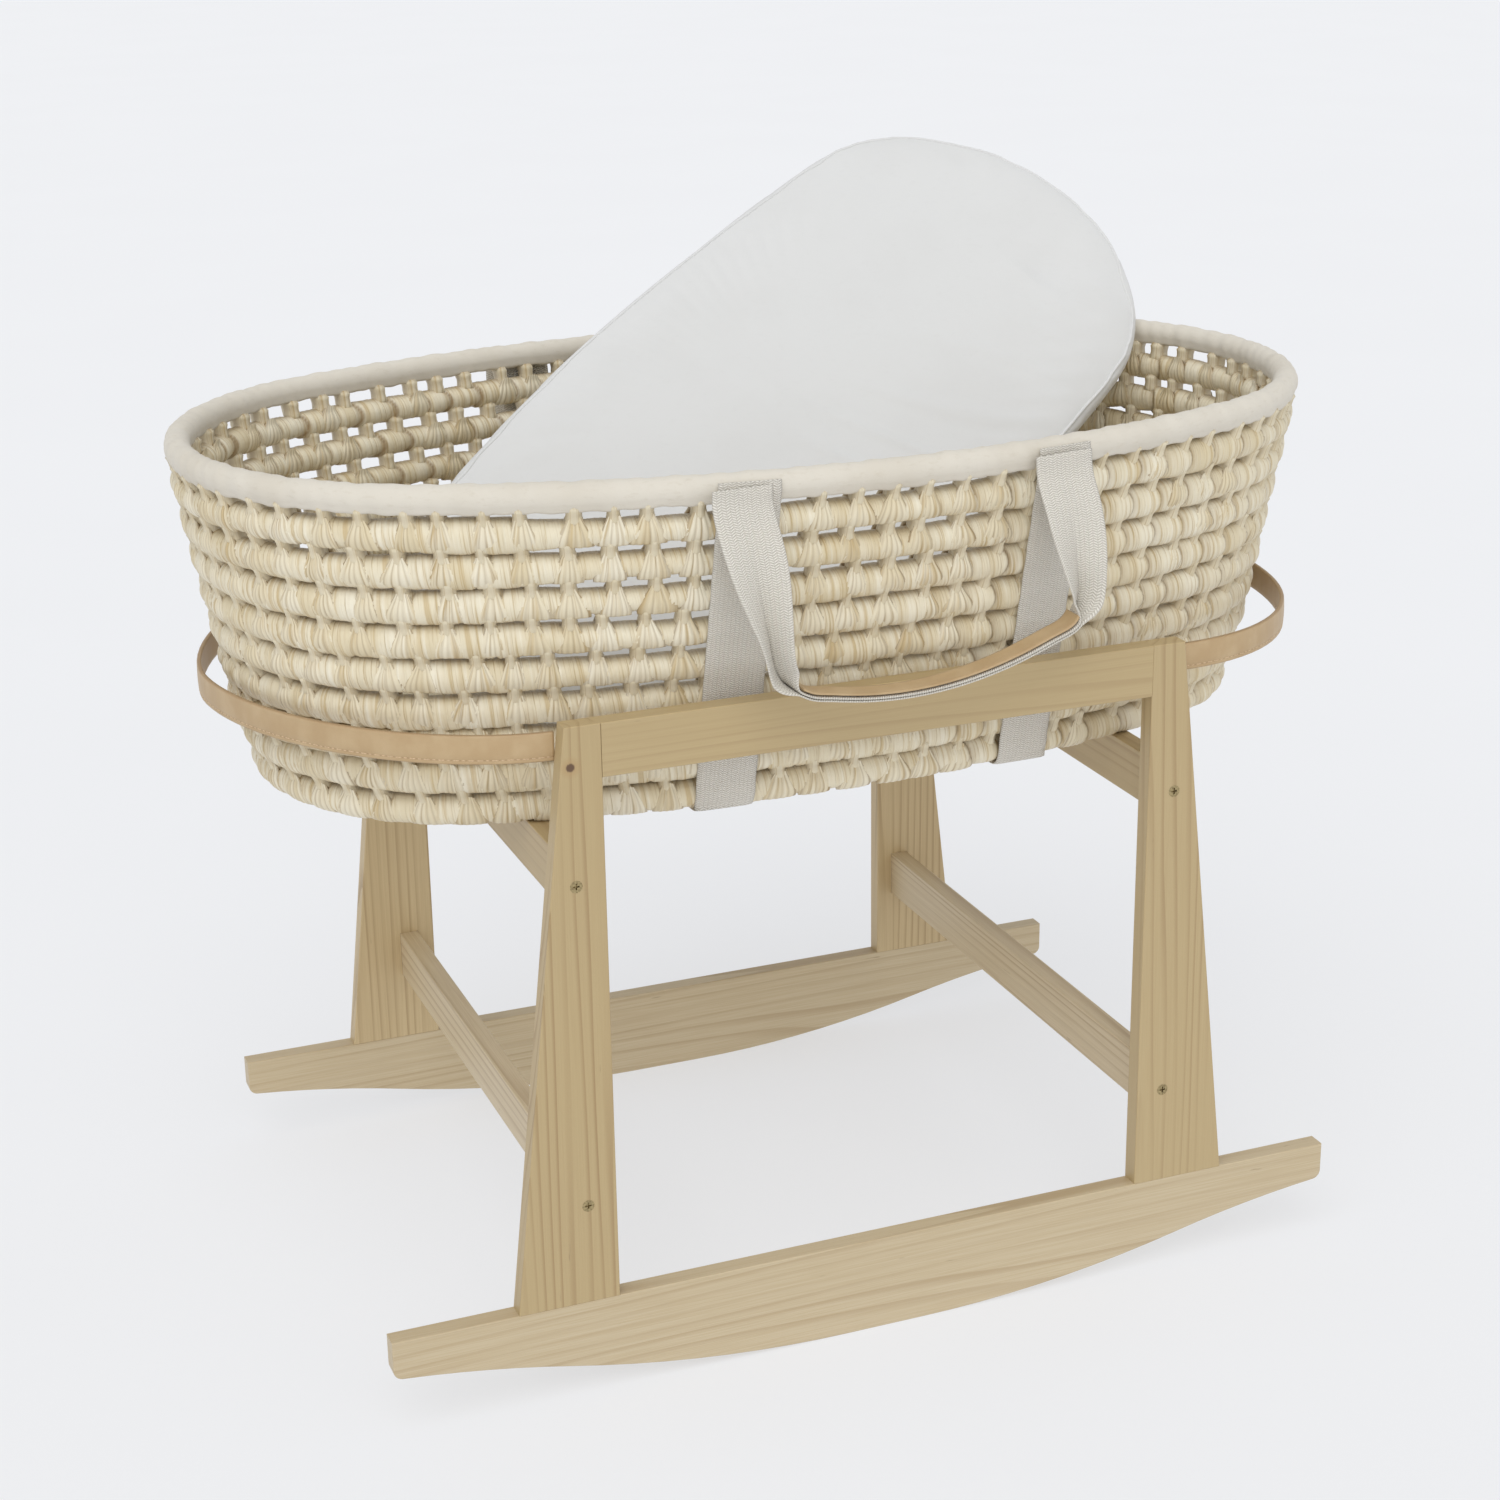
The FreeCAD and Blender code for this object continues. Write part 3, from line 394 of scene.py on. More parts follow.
@dataclass(frozen=True)
class PineFinish:
    """Clear-varnished pine with flat-sawn growth rings, fibres and small knots."""

    name: str
    grain: Grain
    heart: tuple[float, float, float]
    pale: Colour = (0.60, 0.485, 0.305)
    late: Colour = (0.31, 0.195, 0.085)
    sap: Colour = (0.66, 0.56, 0.38)
    ring: float = 5.5 * MM
    contrast: float = 0.75
    knots: tuple[Place, ...] = ()
    streaked: Colour = (0.43, 0.31, 0.155)
    pores: Colour = (0.26, 0.18, 0.10)
    knot_edge: Colour = (0.42, 0.26, 0.11)
    knot_heart: Colour = (0.13, 0.07, 0.035)

    def drawn(self, shader: Shader, place: Socket, across: float, along: float) -> Socket:
        """Coordinates scaled one way across the fibres and another way along them."""
        scale = [across, across, across]
        scale[self.grain.value] = along
        return shader.mapped(place, scale)

    def build(self) -> bpy.types.Material:
        """Make the material."""
        shader = Shader(self.name)
        place = shader.node("TexCoord").outputs["Object"]
        shifted = shader.vector("SUBTRACT", place, self.heart).outputs[0]
        drawn = self.drawn(shader, shifted, 1.0, 0.045)
        sway = shader.node("TexNoise", Vector=drawn, Scale=16.0, Detail=1.0).outputs["Color"]
        sway = shader.vector("SUBTRACT", sway, (0.5, 0.5, 0.5)).outputs[0]
        sway = shader.node("VectorMath", {"operation": "SCALE"}, in0=sway, Scale=0.040).outputs[0]
        bent = shader.vector("ADD", drawn, sway).outputs[0]
        distance = shader.node("VectorMath", {"operation": "LENGTH"}, in0=bent).outputs["Value"]
        uneven = shader.math("MULTIPLY", shader.noise(drawn, 38.0, 1.0), 2.6)
        wave = shader.math("FRACT", shader.math("ADD", shader.math("DIVIDE", distance, self.ring), uneven))
        band = shader.math("MULTIPLY", shader.ramp(wave, 0.52, 0.94), shader.ramp(wave, 0.995, 0.95))
        band = shader.math("MULTIPLY", band, shader.ramp(shader.noise(drawn, 40.0, 2.0), 0.26, 0.66))
        fibre = shader.noise(self.drawn(shader, place, 1400.0, 16.0), 1.0, 3.0, 0.62)
        dashes = shader.noise(self.drawn(shader, place, 230.0, 30.0), 1.0, 2.0)
        colour = shader.tint(self.pale, self.late, band, self.contrast)
        colour = shader.tint(colour, self.sap, shader.ramp(shader.noise(drawn, 9.0, 2.0), 0.3, 0.75), 0.30)
        colour = shader.tint(colour, self.streaked, shader.ramp(fibre, 0.30, 0.72), 0.38)
        colour = shader.tint(colour, self.pores, shader.ramp(dashes, 0.735, 0.80), 0.45)
        for knot in self.knots:
            apart = shader.vector("DISTANCE", place, knot).outputs["Value"]
            ragged = shader.math("MULTIPLY", shader.math("SUBTRACT", fibre, 0.5), 2 * MM)
            apart = shader.math("ADD", apart, ragged)
            colour = shader.tint(colour, self.knot_edge, shader.ramp(apart, 9 * MM, 3 * MM), 0.45)
            colour = shader.blend(shader.ramp(apart, 3.6 * MM, 2.2 * MM), colour, self.knot_heart)
        roughness = shader.spread(fibre, 0.38, 0.55)
        height = shader.mean(fibre, 0.7, band, 0.3)
        return shader.finish(colour, roughness, height, 0.12 * MM, Coat_Weight=0.12, Coat_Roughness=0.35)


@dataclass(frozen=True)
class HuskFinish:
    """Dry maize husk: pale strips wound side by side, with tan shade painted into the creases."""

    name: str = "husk"
    pale: Colour = (0.78, 0.70, 0.52)
    straw: Colour = (0.71, 0.61, 0.41)
    bleached: Colour = (0.88, 0.83, 0.69)
    warm: Colour = (0.56, 0.42, 0.21)
    fibre: Colour = (0.44, 0.31, 0.14)
    shade: Colour = (0.26, 0.165, 0.07)

    def build(self) -> bpy.types.Material:
        """Make the material; u runs along a coil and v round it."""
        shader = Shader(self.name)
        surface = shader.node("UVMap", {"uv_map": "surface"}).outputs[0]
        tone = shader.node("Attribute", {"attribute_name": "tone"}).outputs["Fac"]
        crease_shade = shader.node("Attribute", {"attribute_name": "crease_shade"}).outputs["Fac"]
        strands = shader.noise(shader.mapped(surface, (840, 26, 1)), 1.0, 2.0, 0.55)
        strips = shader.noise(shader.mapped(surface, (330, 11, 1)), 1.0, 2.0, 0.6)
        folds = shader.noise(shader.mapped(surface, (150, 9, 1)), 1.0, 1.0, 0.5)
        patches = shader.noise(shader.mapped(surface, (42, 16, 1)), 1.0, 2.0)
        colour = shader.blend(shader.ramp(tone, 0.15, 1.0), self.pale, self.straw)
        colour = shader.tint(colour, self.bleached, shader.ramp(patches, 0.40, 0.70), 0.55)
        colour = shader.tint(colour, self.warm, shader.ramp(strips, 0.53, 0.68), 0.72)
        colour = shader.tint(colour, self.warm, shader.ramp(folds, 0.60, 0.72), 0.40)
        colour = shader.tint(colour, self.fibre, shader.ramp(strands, 0.55, 0.70), 0.58)
        colour = shader.tint(colour, self.bleached, shader.ramp(strips, 0.44, 0.28), 0.55)
        # Painted shade: the crease mask turns the husk tan in the creases, at the knots and where the coils
        # touch.
        colour = shader.tint(colour, self.shade, crease_shade, 0.95)
        relief = shader.mean(strands, 0.35, strips, 0.65)
        roughness = shader.spread(strips, 0.36, 0.60)
        height = shader.math("SUBTRACT", 1.0, relief)
        return shader.finish(colour, roughness, height, 1.5 * MM, Specular_IOR_Level=0.45)


@dataclass(frozen=True)
class CottonFinish:
    """Plain-woven cotton with faint slubs."""

    name: str
    base: Colour
    slub: Colour
    thread: float = 0.55 * MM
    depth: float = 0.10 * MM
    mottling: float = 0.35

    def build(self) -> bpy.types.Material:
        """Make the material from places in the frame, so that it needs no seams."""
        shader = Shader(self.name)
        place = shader.node("TexCoord").outputs["Object"]
        weave = shader.noise(place, 1 / self.thread, 1.0, 0.4)
        slubs = shader.noise(shader.mapped(place, (140, 140, 420)), 1.0, 3.0, 0.6)
        clouds = shader.noise(place, 14.0, 3.0, 0.55)
        colour = shader.tint(self.base, self.slub, shader.ramp(slubs, 0.52, 0.78), self.mottling)
        colour = shader.tint(colour, self.slub, shader.ramp(clouds, 0.42, 0.72), self.mottling)
        colour = shader.tint(colour, self.slub, shader.ramp(weave, 0.58, 0.75), 0.16)
        height = shader.mean(weave, 0.6, slubs, 0.4)
        return shader.finish(colour, 0.88, height, self.depth, Sheen_Weight=0.15, Sheen_Roughness=0.5,
                             Specular_IOR_Level=0.2)


@dataclass(frozen=True)
class WebbingFinish:
    """Thick cotton webbing woven in herringbone."""

    name: str = "webbing"
    base: Colour = (0.80, 0.765, 0.69)
    # deep is a painted shade colour for the sunk parts of the weave.
    deep: Colour = (0.54, 0.50, 0.43)
    fuzzy: Colour = (0.86, 0.83, 0.77)
    aged: Colour = (0.72, 0.675, 0.59)
    column: float = 3.0 * MM
    yarn: float = 1.7 * MM

    def build(self) -> bpy.types.Material:
        """Make the material; u runs along the webbing and v across it."""
        shader = Shader(self.name)
        surface = shader.node("UVMap", {"uv_map": "surface"}).outputs[0]
        split = shader.node("SeparateXYZ", Vector=surface)
        along, across = split.outputs[0], split.outputs[1]
        zigzag = shader.math("PINGPONG", shader.math("DIVIDE", across, self.column), 1.0)
        slope = shader.math("MULTIPLY", zigzag, 0.85)
        rows = shader.math("ADD", shader.math("DIVIDE", along, self.yarn), slope)
        ridge = shader.math("MULTIPLY", shader.math("PINGPONG", rows, 0.5), 2.0)
        edge = shader.ramp(shader.math("ABSOLUTE", shader.math("SUBTRACT", zigzag, 0.5)), 0.5, 0.34)
        sunk = shader.math("ADD", 0.45, shader.math("MULTIPLY", edge, 0.55))
        relief = shader.math("MULTIPLY", shader.ramp(ridge, 0.05, 0.75), sunk)
        fuzz = shader.noise(shader.mapped(surface, (900, 900, 1)), 1.0, 2.0)
        clouds = shader.noise(shader.mapped(surface, (40, 40, 1)), 1.0, 2.0)
        # Painted shade: the weave is darkened to the deep colour where its relief is sunk.
        colour = shader.blend(relief, self.deep, self.base)
        colour = shader.tint(colour, self.fuzzy, shader.ramp(fuzz, 0.4, 0.7), 0.3)
        colour = shader.tint(colour, self.aged, shader.ramp(clouds, 0.45, 0.75), 0.25)
        height = shader.mean(relief, 0.8, fuzz, 0.2)
        return shader.finish(colour, 0.86, height, 0.55 * MM, Sheen_Weight=0.12, Specular_IOR_Level=0.2)


@dataclass(frozen=True)
class LeatherFinish:
    """Tan leather with fine pores."""

    name: str
    base: Colour = (0.47, 0.325, 0.17)
    worn: Colour = (0.53, 0.385, 0.215)
    dark: Colour = (0.30, 0.18, 0.09)
    roughness: float = 0.46

    def build(self) -> bpy.types.Material:
        """Make the material; the crease attribute darkens the belt's edge lines and paints shade along its
        seam groove and back face.
        """
        shader = Shader(self.name)
        surface = shader.node("UVMap", {"uv_map": "surface"}).outputs[0]
        crease_shade = shader.node("Attribute", {"attribute_name": "crease_shade"}).outputs["Fac"]
        cells = shader.node("TexVoronoi", Vector=surface, Scale=900.0).outputs["Distance"]
        clouds = shader.noise(surface, 46.0, 3.0)
        fine = shader.noise(surface, 1500.0, 2.0)
        colour = shader.blend(shader.ramp(clouds, 0.35, 0.72), self.base, self.worn)
        colour = shader.tint(colour, self.dark, shader.ramp(fine, 0.55, 0.8), 0.2)
        # Painted shade along the belt's seam groove and back face; the same mask darkens the belt's edge
        # lines.
        colour = shader.tint(colour, self.dark, crease_shade, 0.6)
        height = shader.mean(cells, 0.6, fine, 0.3)
        return shader.finish(colour, self.roughness, height, 0.10 * MM, Coat_Weight=0.06, Coat_Roughness=0.4)


@dataclass(frozen=True)
class BrassFinish:
    """Zinc-yellow screws, slightly tarnished."""

    name: str = "screw_brass"
    bright: Colour = (0.45, 0.36, 0.19)
    dull: Colour = (0.25, 0.19, 0.10)

    def build(self) -> bpy.types.Material:
        """Make the material."""
        shader = Shader(self.name)
        place = shader.node("TexCoord").outputs["Object"]
        spots = shader.noise(place, 700.0, 3.0, 0.6)
        colour = shader.blend(shader.ramp(spots, 0.35, 0.7), self.bright, self.dull)
        roughness = shader.spread(spots, 0.28, 0.5)
        return shader.finish(colour, roughness, spots, 0.05 * MM, Metallic=0.9)


@dataclass(frozen=True)
class ThreadFinish:
    """Waxed sewing thread."""

    name: str
    base: Colour

    def build(self) -> bpy.types.Material:
        """Make the material."""
        shader = Shader(self.name)
        place = shader.node("TexCoord").outputs["Object"]
        ply = shader.noise(place, 2600.0, 1.0)
        darker = tuple(channel * 0.7 for channel in self.base)
        colour = shader.blend(shader.ramp(ply, 0.4, 0.7), self.base, darker)
        return shader.finish(colour, 0.7, ply, 0.05 * MM)


@dataclass(frozen=True)
class StudioFinish:
    """Matt white studio sweep."""

    name: str = "sweep"
    white: Colour = (0.34, 0.342, 0.348)
    glow: Colour = (0.95, 0.96, 0.985)
    strength: float = 0.56

    def build(self) -> bpy.types.Material:
        """Make the material with a barely visible unevenness."""
        shader = Shader(self.name)
        place = shader.node("TexCoord").outputs["Object"]
        clouds = shader.noise(place, 2.0, 2.0)
        darker = tuple(channel * 0.985 for channel in self.white)
        colour = shader.blend(shader.ramp(clouds, 0.3, 0.7), self.white, darker)
        return shader.finish(colour, 0.85, Specular_IOR_Level=0.1, Emission_Color=(*self.glow, 1),
                             Emission_Strength=self.strength)


# ---------------------------------------------------------------- husk basket
@dataclass
class WallShape:
    """Centre line of the basket's wall at any height."""

    base: Oval = Oval(372 * MM, 185 * MM, 155 * MM)
    belly: Oval = Oval(389 * MM, 199 * MM, 167.6 * MM)
    rim: Oval = Oval(420 * MM, 245 * MM, 202 * MM)
    base_z: float = 405.3 * MM
    belly_z: float = 469.3 * MM
    rim_z: float = 644.3 * MM

    def oval(self, height: float) -> Oval:
        """Centre line at one height."""
        if height < self.belly_z:
            return self.base.mixed(self.belly, (height - self.base_z) / (self.belly_z - self.base_z))
        return self.belly.mixed(self.rim, (height - self.belly_z) / (self.rim_z - self.belly_z))

    def point(self, share: np.ndarray, height: float) -> tuple[np.ndarray, np.ndarray]:
        """Centre line points and normals at shares of the way round, at one height."""
        oval = self.oval(height)
        centre, normal = oval.at(share * oval.perimeter)
        centre[..., 2] = height
        return centre, normal


@dataclass
class CoiledBasket:
    """Rows of wound husk, knotted row to row, with a coiled floor."""

    shape: WallShape
    rows: int = 9
    lowest: float = 414.8 * MM
    depth: float = 9.2 * MM
    shut: float = 12.35 * MM
    slack: float = 3.3 * MM
    wrap: float = 27 * MM
    step: float = 1.3 * MM
    around: int = 26
    slant: float = 7 * MM
    lead: float = 8 * MM
    girth: float = 2.3
    floor_pitch: float = 15.5 * MM
    floor_radius: float = 7.2 * MM
    starts: list[np.ndarray] = field(default_factory=list)

    @property
    def pitch(self) -> float:
        """Distance between the centre lines of two rows."""
        return (self.shape.rim_z - self.lowest) / self.rows

    def openness(self, x: np.ndarray, y: np.ndarray, gap: int) -> np.ndarray:
        """How far two rows stand apart, from 0 to 1.

        Args:
            x: Places along the basket.
            y: Places across it.
            gap: Number of the gap; 0 is the one above the lowest row.
        Returns:
            Share of the full slack at every place.
        """
        near = smooth(-0.27, -0.19, x) * smooth(-0.05, -0.09, x) * (y < 0)
        near = near * (1.25 if gap >= 5 else 1.0 if gap >= 2 else 0.25)
        middle = smooth(-0.12, -0.08, x) * smooth(0.12, 0.03, x) * (y < 0) * (0.85 if gap >= 6 else 0.2)
        far = smooth(0.38, 0.33, np.abs(x)) * (y > 0) * (0.95 if gap >= 1 else 0.4)
        end = smooth(0.28, 0.34, np.abs(x)) * (0.8 if gap >= 7 else 0.12)
        base = 0.16 + 0.16 * np.sin(x * 61 + gap * 2.1) * np.sin(x * 23 + gap * 4.7)
        return np.clip(np.maximum.reduce([near, middle, far, end, base]), 0, 1.25)

    def build(self, husk: bpy.types.Material) -> None:
        """Make all coils and knots."""
        for number in range(self.rows):
            self.starts.append(self.wrap_starts(number))
            self.row(number, husk)
        self.knots(husk)
        self.floor(husk)

    def wrap_starts(self, number: int) -> np.ndarray:
        """Where each wrap of a row begins."""
        dice = Random(100 + number)
        perimeter = self.shape.oval(self.lowest + number * self.pitch).perimeter
        count = round(perimeter / self.wrap)
        first = dice.uniform(0, 0.7)
        shares = [(index + first + dice.uniform(-0.15, 0.15)) / count for index in range(count)]
        return np.array(shares) % 1.0 if first > 0.15 else np.sort(np.array(shares) % 1.0)

    def row(self, number: int, husk: bpy.types.Material) -> None:
        """Make one coil of the wall.

        Args:
            number: Row, counted from the bottom.
            husk: Finish of the coil.
        """
        height = self.lowest + number * self.pitch
        oval = self.shape.oval(height)
        perimeter = oval.perimeter
        samples = round(perimeter / self.step)
        along = np.arange(samples) * perimeter / samples
        centre, normal = oval.at(along)
        turn = math.pi / 2 + TAU * np.arange(self.around) / self.around
        outward, upward = np.cos(turn)[None, :], np.sin(turn)[None, :]
        x, y = centre[:, 0], centre[:, 1]
        dice = np.random.default_rng(500 + number)
        swell, tone, crease_shade = self.winding(number, along, perimeter, x, turn, dice)
        sway = np.zeros(samples)
        for waves, size in ((3, 0.6), (7, 0.45), (17, 0.3)):
            sway += size * MM * np.sin(TAU * along / perimeter * waves + dice.uniform(0, TAU))
        above = self.openness(x, y, number)[:, None]
        below = self.openness(x, y, number - 1)[:, None]
        tall = self.shut - self.slack * np.where(upward > 0, above, below)
        tall = tall + 0.35 * MM * (tone - 0.5)
        if number == 0:
            tall = np.where(upward > 0, tall, self.depth - 0.4 * MM)
        radial = (self.depth + swell) * outward
        points = centre[:, None, :] + normal[:, None, :] * radial[..., None]
        points[..., 2] = height + (tall + swell * 0.55) * upward + sway[:, None]
        uv = grid_uv(np.append(along, perimeter), np.append(turn, turn[0] + TAU) * 9.6 * MM)
        uv[..., 0] += 0.12 * uv[..., 1]
        batch = MeshBatch()
        batch.patch(points, uv, (True, True), tone, crease_shade)
        piece = batch.to_object(f"husk_coil_{number + 1}", husk)
        present(piece, "basket", "husk", "basket_wall")

    def winding(self, number: int, along: np.ndarray, perimeter: float, x: np.ndarray, turn: np.ndarray,
                dice: np.random.Generator) -> tuple[np.ndarray, np.ndarray, np.ndarray]:
        """Relief of the strips wound round a coil, and of the overlapping shells at its right end.

        Args:
            number: Row, counted from the bottom.
            along: Distances along the coil.
            perimeter: Length of the coil.
            x: Places along the basket.
            turn: Angles round the coil.
            dice: Source of differences between wraps.
        Returns:
            Swelling, tone and shadow share of every point of the coil.
        """
        outward, upward = np.cos(turn)[None, :], np.sin(turn)[None, :]
        starts = np.sort(self.starts[number]) * perimeter
        lengths = np.diff(np.append(starts, starts[0] + perimeter))
        beads = np.maximum(smooth(-0.05, 0.10, x)[:, None], smooth(0.1, -0.4, outward))
        slant = self.slant * np.sin(TAU * along / perimeter * 37 + number)[:, None] * upward * (1 - beads)
        place = np.mod(along[:, None] - self.lead * outward * beads - slant, perimeter)
        which = np.searchsorted(starts, place, side="right") - 1
        distance = np.mod(place - starts[which], perimeter)
        local = distance / lengths[which]
        edge = np.minimum(distance, lengths[which] - distance)
        wraps = len(starts)
        tone, phase = dice.uniform(0, 1, wraps), dice.uniform(0, TAU, wraps)
        bulge, fat = dice.uniform(0.6, 1.3, wraps), dice.uniform(-0.5, 0.5, wraps) * MM
        tight = dice.uniform(3.1 * MM, 4.6 * MM, wraps)
        barrel = (1.0 - np.abs(2 * local - 1) ** 3) * 0.9 * MM
        barrel -= 1.2 * MM * np.exp(-(edge / (1.5 * MM)) ** 2)
        rising = np.where(local < 0.07, 1 - local / 0.07, (local - 0.07) / 0.93)
        bead = (1.0 - np.abs(2 * local - 0.9) ** 2.4) * 1.5 * MM + (rising - 0.62) * 3.6 * MM
        bead -= 1.5 * MM * np.exp(-(distance / (1.6 * MM)) ** 2)
        strip = TAU * distance / tight[which]
        ridge = 0.24 * MM * np.sin(strip + phase[which] + 0.5 * upward)
        ridge += 0.16 * MM * np.sin(strip / 0.57 + 2 * phase[which])
        ridge *= 1 - 0.45 * beads
        swell = bulge[which] * (barrel * (1 - beads) + bead * beads) + ridge + fat[which]
        # Painted shade: dark lines at each wrap's step and shell edge, a contact shadow after the step on
        # the beads, and shade where the coil meets the rows above and below.
        crease_shade = np.exp(-(distance / (1.5 * MM + 0.6 * MM * beads)) ** 2) * np.maximum(beads, 0.7)
        lip = (lengths[which] - distance) / (0.8 * MM + 0.5 * MM * beads)
        crease_shade = np.maximum(crease_shade, (0.30 + 0.50 * beads) * np.exp(-lip ** 2))
        crease_shade = np.maximum(crease_shade, 0.45 * beads * np.exp(-distance / (4.5 * MM)))
        crease_shade = np.maximum(crease_shade, 0.55 * np.abs(upward) ** 9)
        return swell, tone[which], crease_shade

    def knots(self, husk: bpy.types.Material) -> None:
        """Make the knots that tie each row to the one above, with fans spread below them."""
        for number in range(self.rows):
            batch = MeshBatch()
            dice = Random(900 + number)
            low = self.lowest + number * self.pitch
            for share in self.starts[number]:
                spot = share + dice.uniform(-1.5, 1.5) * MM / self.girth
                self.neck(batch, spot, low, dice)
                centre, _ = self.shape.point(np.array([spot]), low)
                left = float(smooth(0.13, 0.02, centre[0, 0]))
                if centre[0, 1] < 0.05 and dice.random() < 0.25 + 0.75 * left:
                    self.fan(batch, spot, low, 1, dice)
                if dice.random() < 0.55:
                    self.fan(batch, spot, low, -1, dice)
            piece = batch.to_object(f"husk_knots_{number + 1}", husk)
            present(piece, "basket", "husk", "basket_wall")

    def neck(self, batch: MeshBatch, share: float, low: float, dice: Random) -> None:
        """One knot between a row and the row above.

        Args:
            batch: Mesh that receives it.
            share: Place round the basket.
            low: Height of the lower row's centre line.
            dice: Source of small differences.
        """
        stations = np.array([0.21, 0.30, 0.40, 0.5, 0.60, 0.69, 0.78])
        width = np.array([4.3, 5.7, 5.2, 4.8, 5.1, 5.6, 4.0]) * MM * dice.uniform(0.85, 1.15)
        reach = np.array([6.6, 7.9, 8.2, 8.2, 8.7, 9.5, 7.6]) * MM
        turn = TAU * np.arange(12) / 12
        tilt = dice.uniform(-0.12, 0.12)
        rings = []
        for station, wide, deep in zip(stations, width, reach):
            height = low + station * self.pitch
            lean = share + (station - 0.5) * tilt * 10 * MM / self.girth
            centre, normal = self.shape.point(np.array([lean]), height)
            tangent = np.array([-normal[0, 1], normal[0, 0], 0])
            ripple = 1 + 0.09 * np.sin(5 * turn + dice.uniform(0, 1))
            side = np.sign(np.cos(turn)) * np.abs(np.cos(turn)) ** 0.8 * wide * ripple
            front = np.sin(turn) * deep * ripple
            rings.append(centre[0] + tangent * side[:, None] + normal[0] * front[:, None])
        points = np.stack(rings)
        uv = grid_uv(stations * self.pitch, np.append(turn, TAU) * 5 * MM)[..., ::-1]
        # Painted shade where the knot enters the rows and in lines round it.
        crease_shade = np.array([0.35, 0.0, 0.1, 0.18, 0.1, 0.0, 0.4])[:, None]
        crease_shade = crease_shade + 0.25 * np.cos(2.5 * turn)[None, :] ** 8
        batch.patch(points, uv, (False, True), dice.uniform(0.0, 0.6), crease_shade, capped=True)

    def fan(self, batch: MeshBatch, share: float, low: float, face: int, dice: Random) -> None:
        """One fan of strands spread from a knot over the row below it.

        Args:
            batch: Mesh that receives it.
            share: Place round the basket.
            low: Height of the row's centre line.
            face: 1 for the outside, -1 for the inside.
            dice: Source of small differences.
        """
        down = np.linspace(0, 1, 15)
        angle = math.pi / 2 - math.radians(152) * down
        wide = (4.7 + (5.2 + 3.8 * dice.random()) * smooth(0.08, 0.85, down)) * MM
        across = np.linspace(-1, 1, 21)
        perimeter = self.shape.oval(low).perimeter
        skew = dice.uniform(-1.5, 1.5) * MM
        place = share + (across[None, :] * wide[:, None] + skew * down[:, None]) / perimeter
        centre, normal = self.shape.point(place, low)
        waves = np.cos(across * dice.uniform(14, 19) + dice.uniform(0, 3))
        proud = 2.2 * MM * (1 - np.abs(across) ** 2.6) + 0.5 * MM * waves * (1 - across**4)
        proud = proud[None, :] * (1 - 0.55 * down[:, None] ** 2) - 0.5 * MM
        tall = (self.shut - 1.5 * MM) + proud * 0.7
        deep = self.depth + 0.5 * MM + proud
        least = np.where(angle > 0.3, 8.4 * MM, 0.0)[:, None] + 0.35 * proud
        out = np.maximum(deep * np.cos(angle)[:, None], least)
        points = centre + normal * (face * out)[..., None]
        points[..., 2] = low + tall * np.sin(angle)[:, None]
        inside = centre + normal * (face * (out - 2.6 * MM))[..., None]
        inside[..., 2] = low + (tall - 2.2 * MM) * np.sin(angle)[:, None]
        ring = np.concatenate([points, inside[:, ::-10]], axis=1)
        if face > 0:
            ring = ring[:, ::-1]
        columns = ring.shape[1]
        uv = grid_uv(down * 24 * MM, np.linspace(0, 0.014, columns + 1))[..., ::-1] + share * 2.2
        # Painted shade along the fan's edges, in the troughs between its strands and over its underside.
        crease_shade = 0.5 * np.exp(-((across / 0.93) ** 2 - 1) ** 2 / 0.02) + 0.42 * np.clip(-waves, 0, 1) ** 2
        crease_shade = np.concatenate([crease_shade, np.ones(3)])
        crease_shade = crease_shade[::-1] if face > 0 else crease_shade
        batch.patch(ring, uv, (False, True), dice.uniform(0.0, 1.0), crease_shade[None, :], capped=True)

    def floor(self, husk: bpy.types.Material) -> None:
        """Make the flat rings of coil inside the lowest row, and the straight piece in their middle."""
        batch = MeshBatch()
        turn = TAU * np.arange(10) / 10
        inset = self.floor_pitch
        while self.shape.base.width - inset > self.floor_radius:
            width = self.shape.base.width - inset
            length = self.shape.base.length - inset
            oval = Oval(length, width, max(self.shape.base.end - inset, 0.45 * width))
            samples = round(oval.perimeter / (3.2 * MM))
            along = np.arange(samples) * oval.perimeter / samples
            centre, normal = oval.at(along)
            wraps = round(oval.perimeter / self.wrap)
            radius, crease_shade = self.floor_wrap(np.mod(along / oval.perimeter * wraps + inset * 97, 1))
            radial = radius * np.cos(turn)[None, :] * 1.06
            points = centre[:, None, :] + normal[:, None, :] * radial[..., None]
            points[..., 2] = self.floor_z + radius * np.sin(turn)[None, :]
            uv = grid_uv(np.append(along, oval.perimeter), np.append(turn, TAU) * 7 * MM)
            batch.patch(points, uv, (True, True), 0.5, crease_shade)
            inset += self.floor_pitch
        self.floor_heart(batch, length - self.floor_pitch)
        present(batch.to_object("husk_floor", husk), "basket", "husk", "basket_floor")

    @property
    def floor_z(self) -> float:
        """Height of the floor's centre line."""
        return self.shape.base_z + 7.2 * MM

    def floor_wrap(self, local: np.ndarray) -> tuple[np.ndarray, np.ndarray]:
        """Radius and shadow share of the floor's coil at shares of a wrap."""
        radius = self.floor_radius + 0.7 * MM * (local - 0.5)
        return radius[:, None], 0.7 * np.exp(-(local / 0.06) ** 2)[:, None]

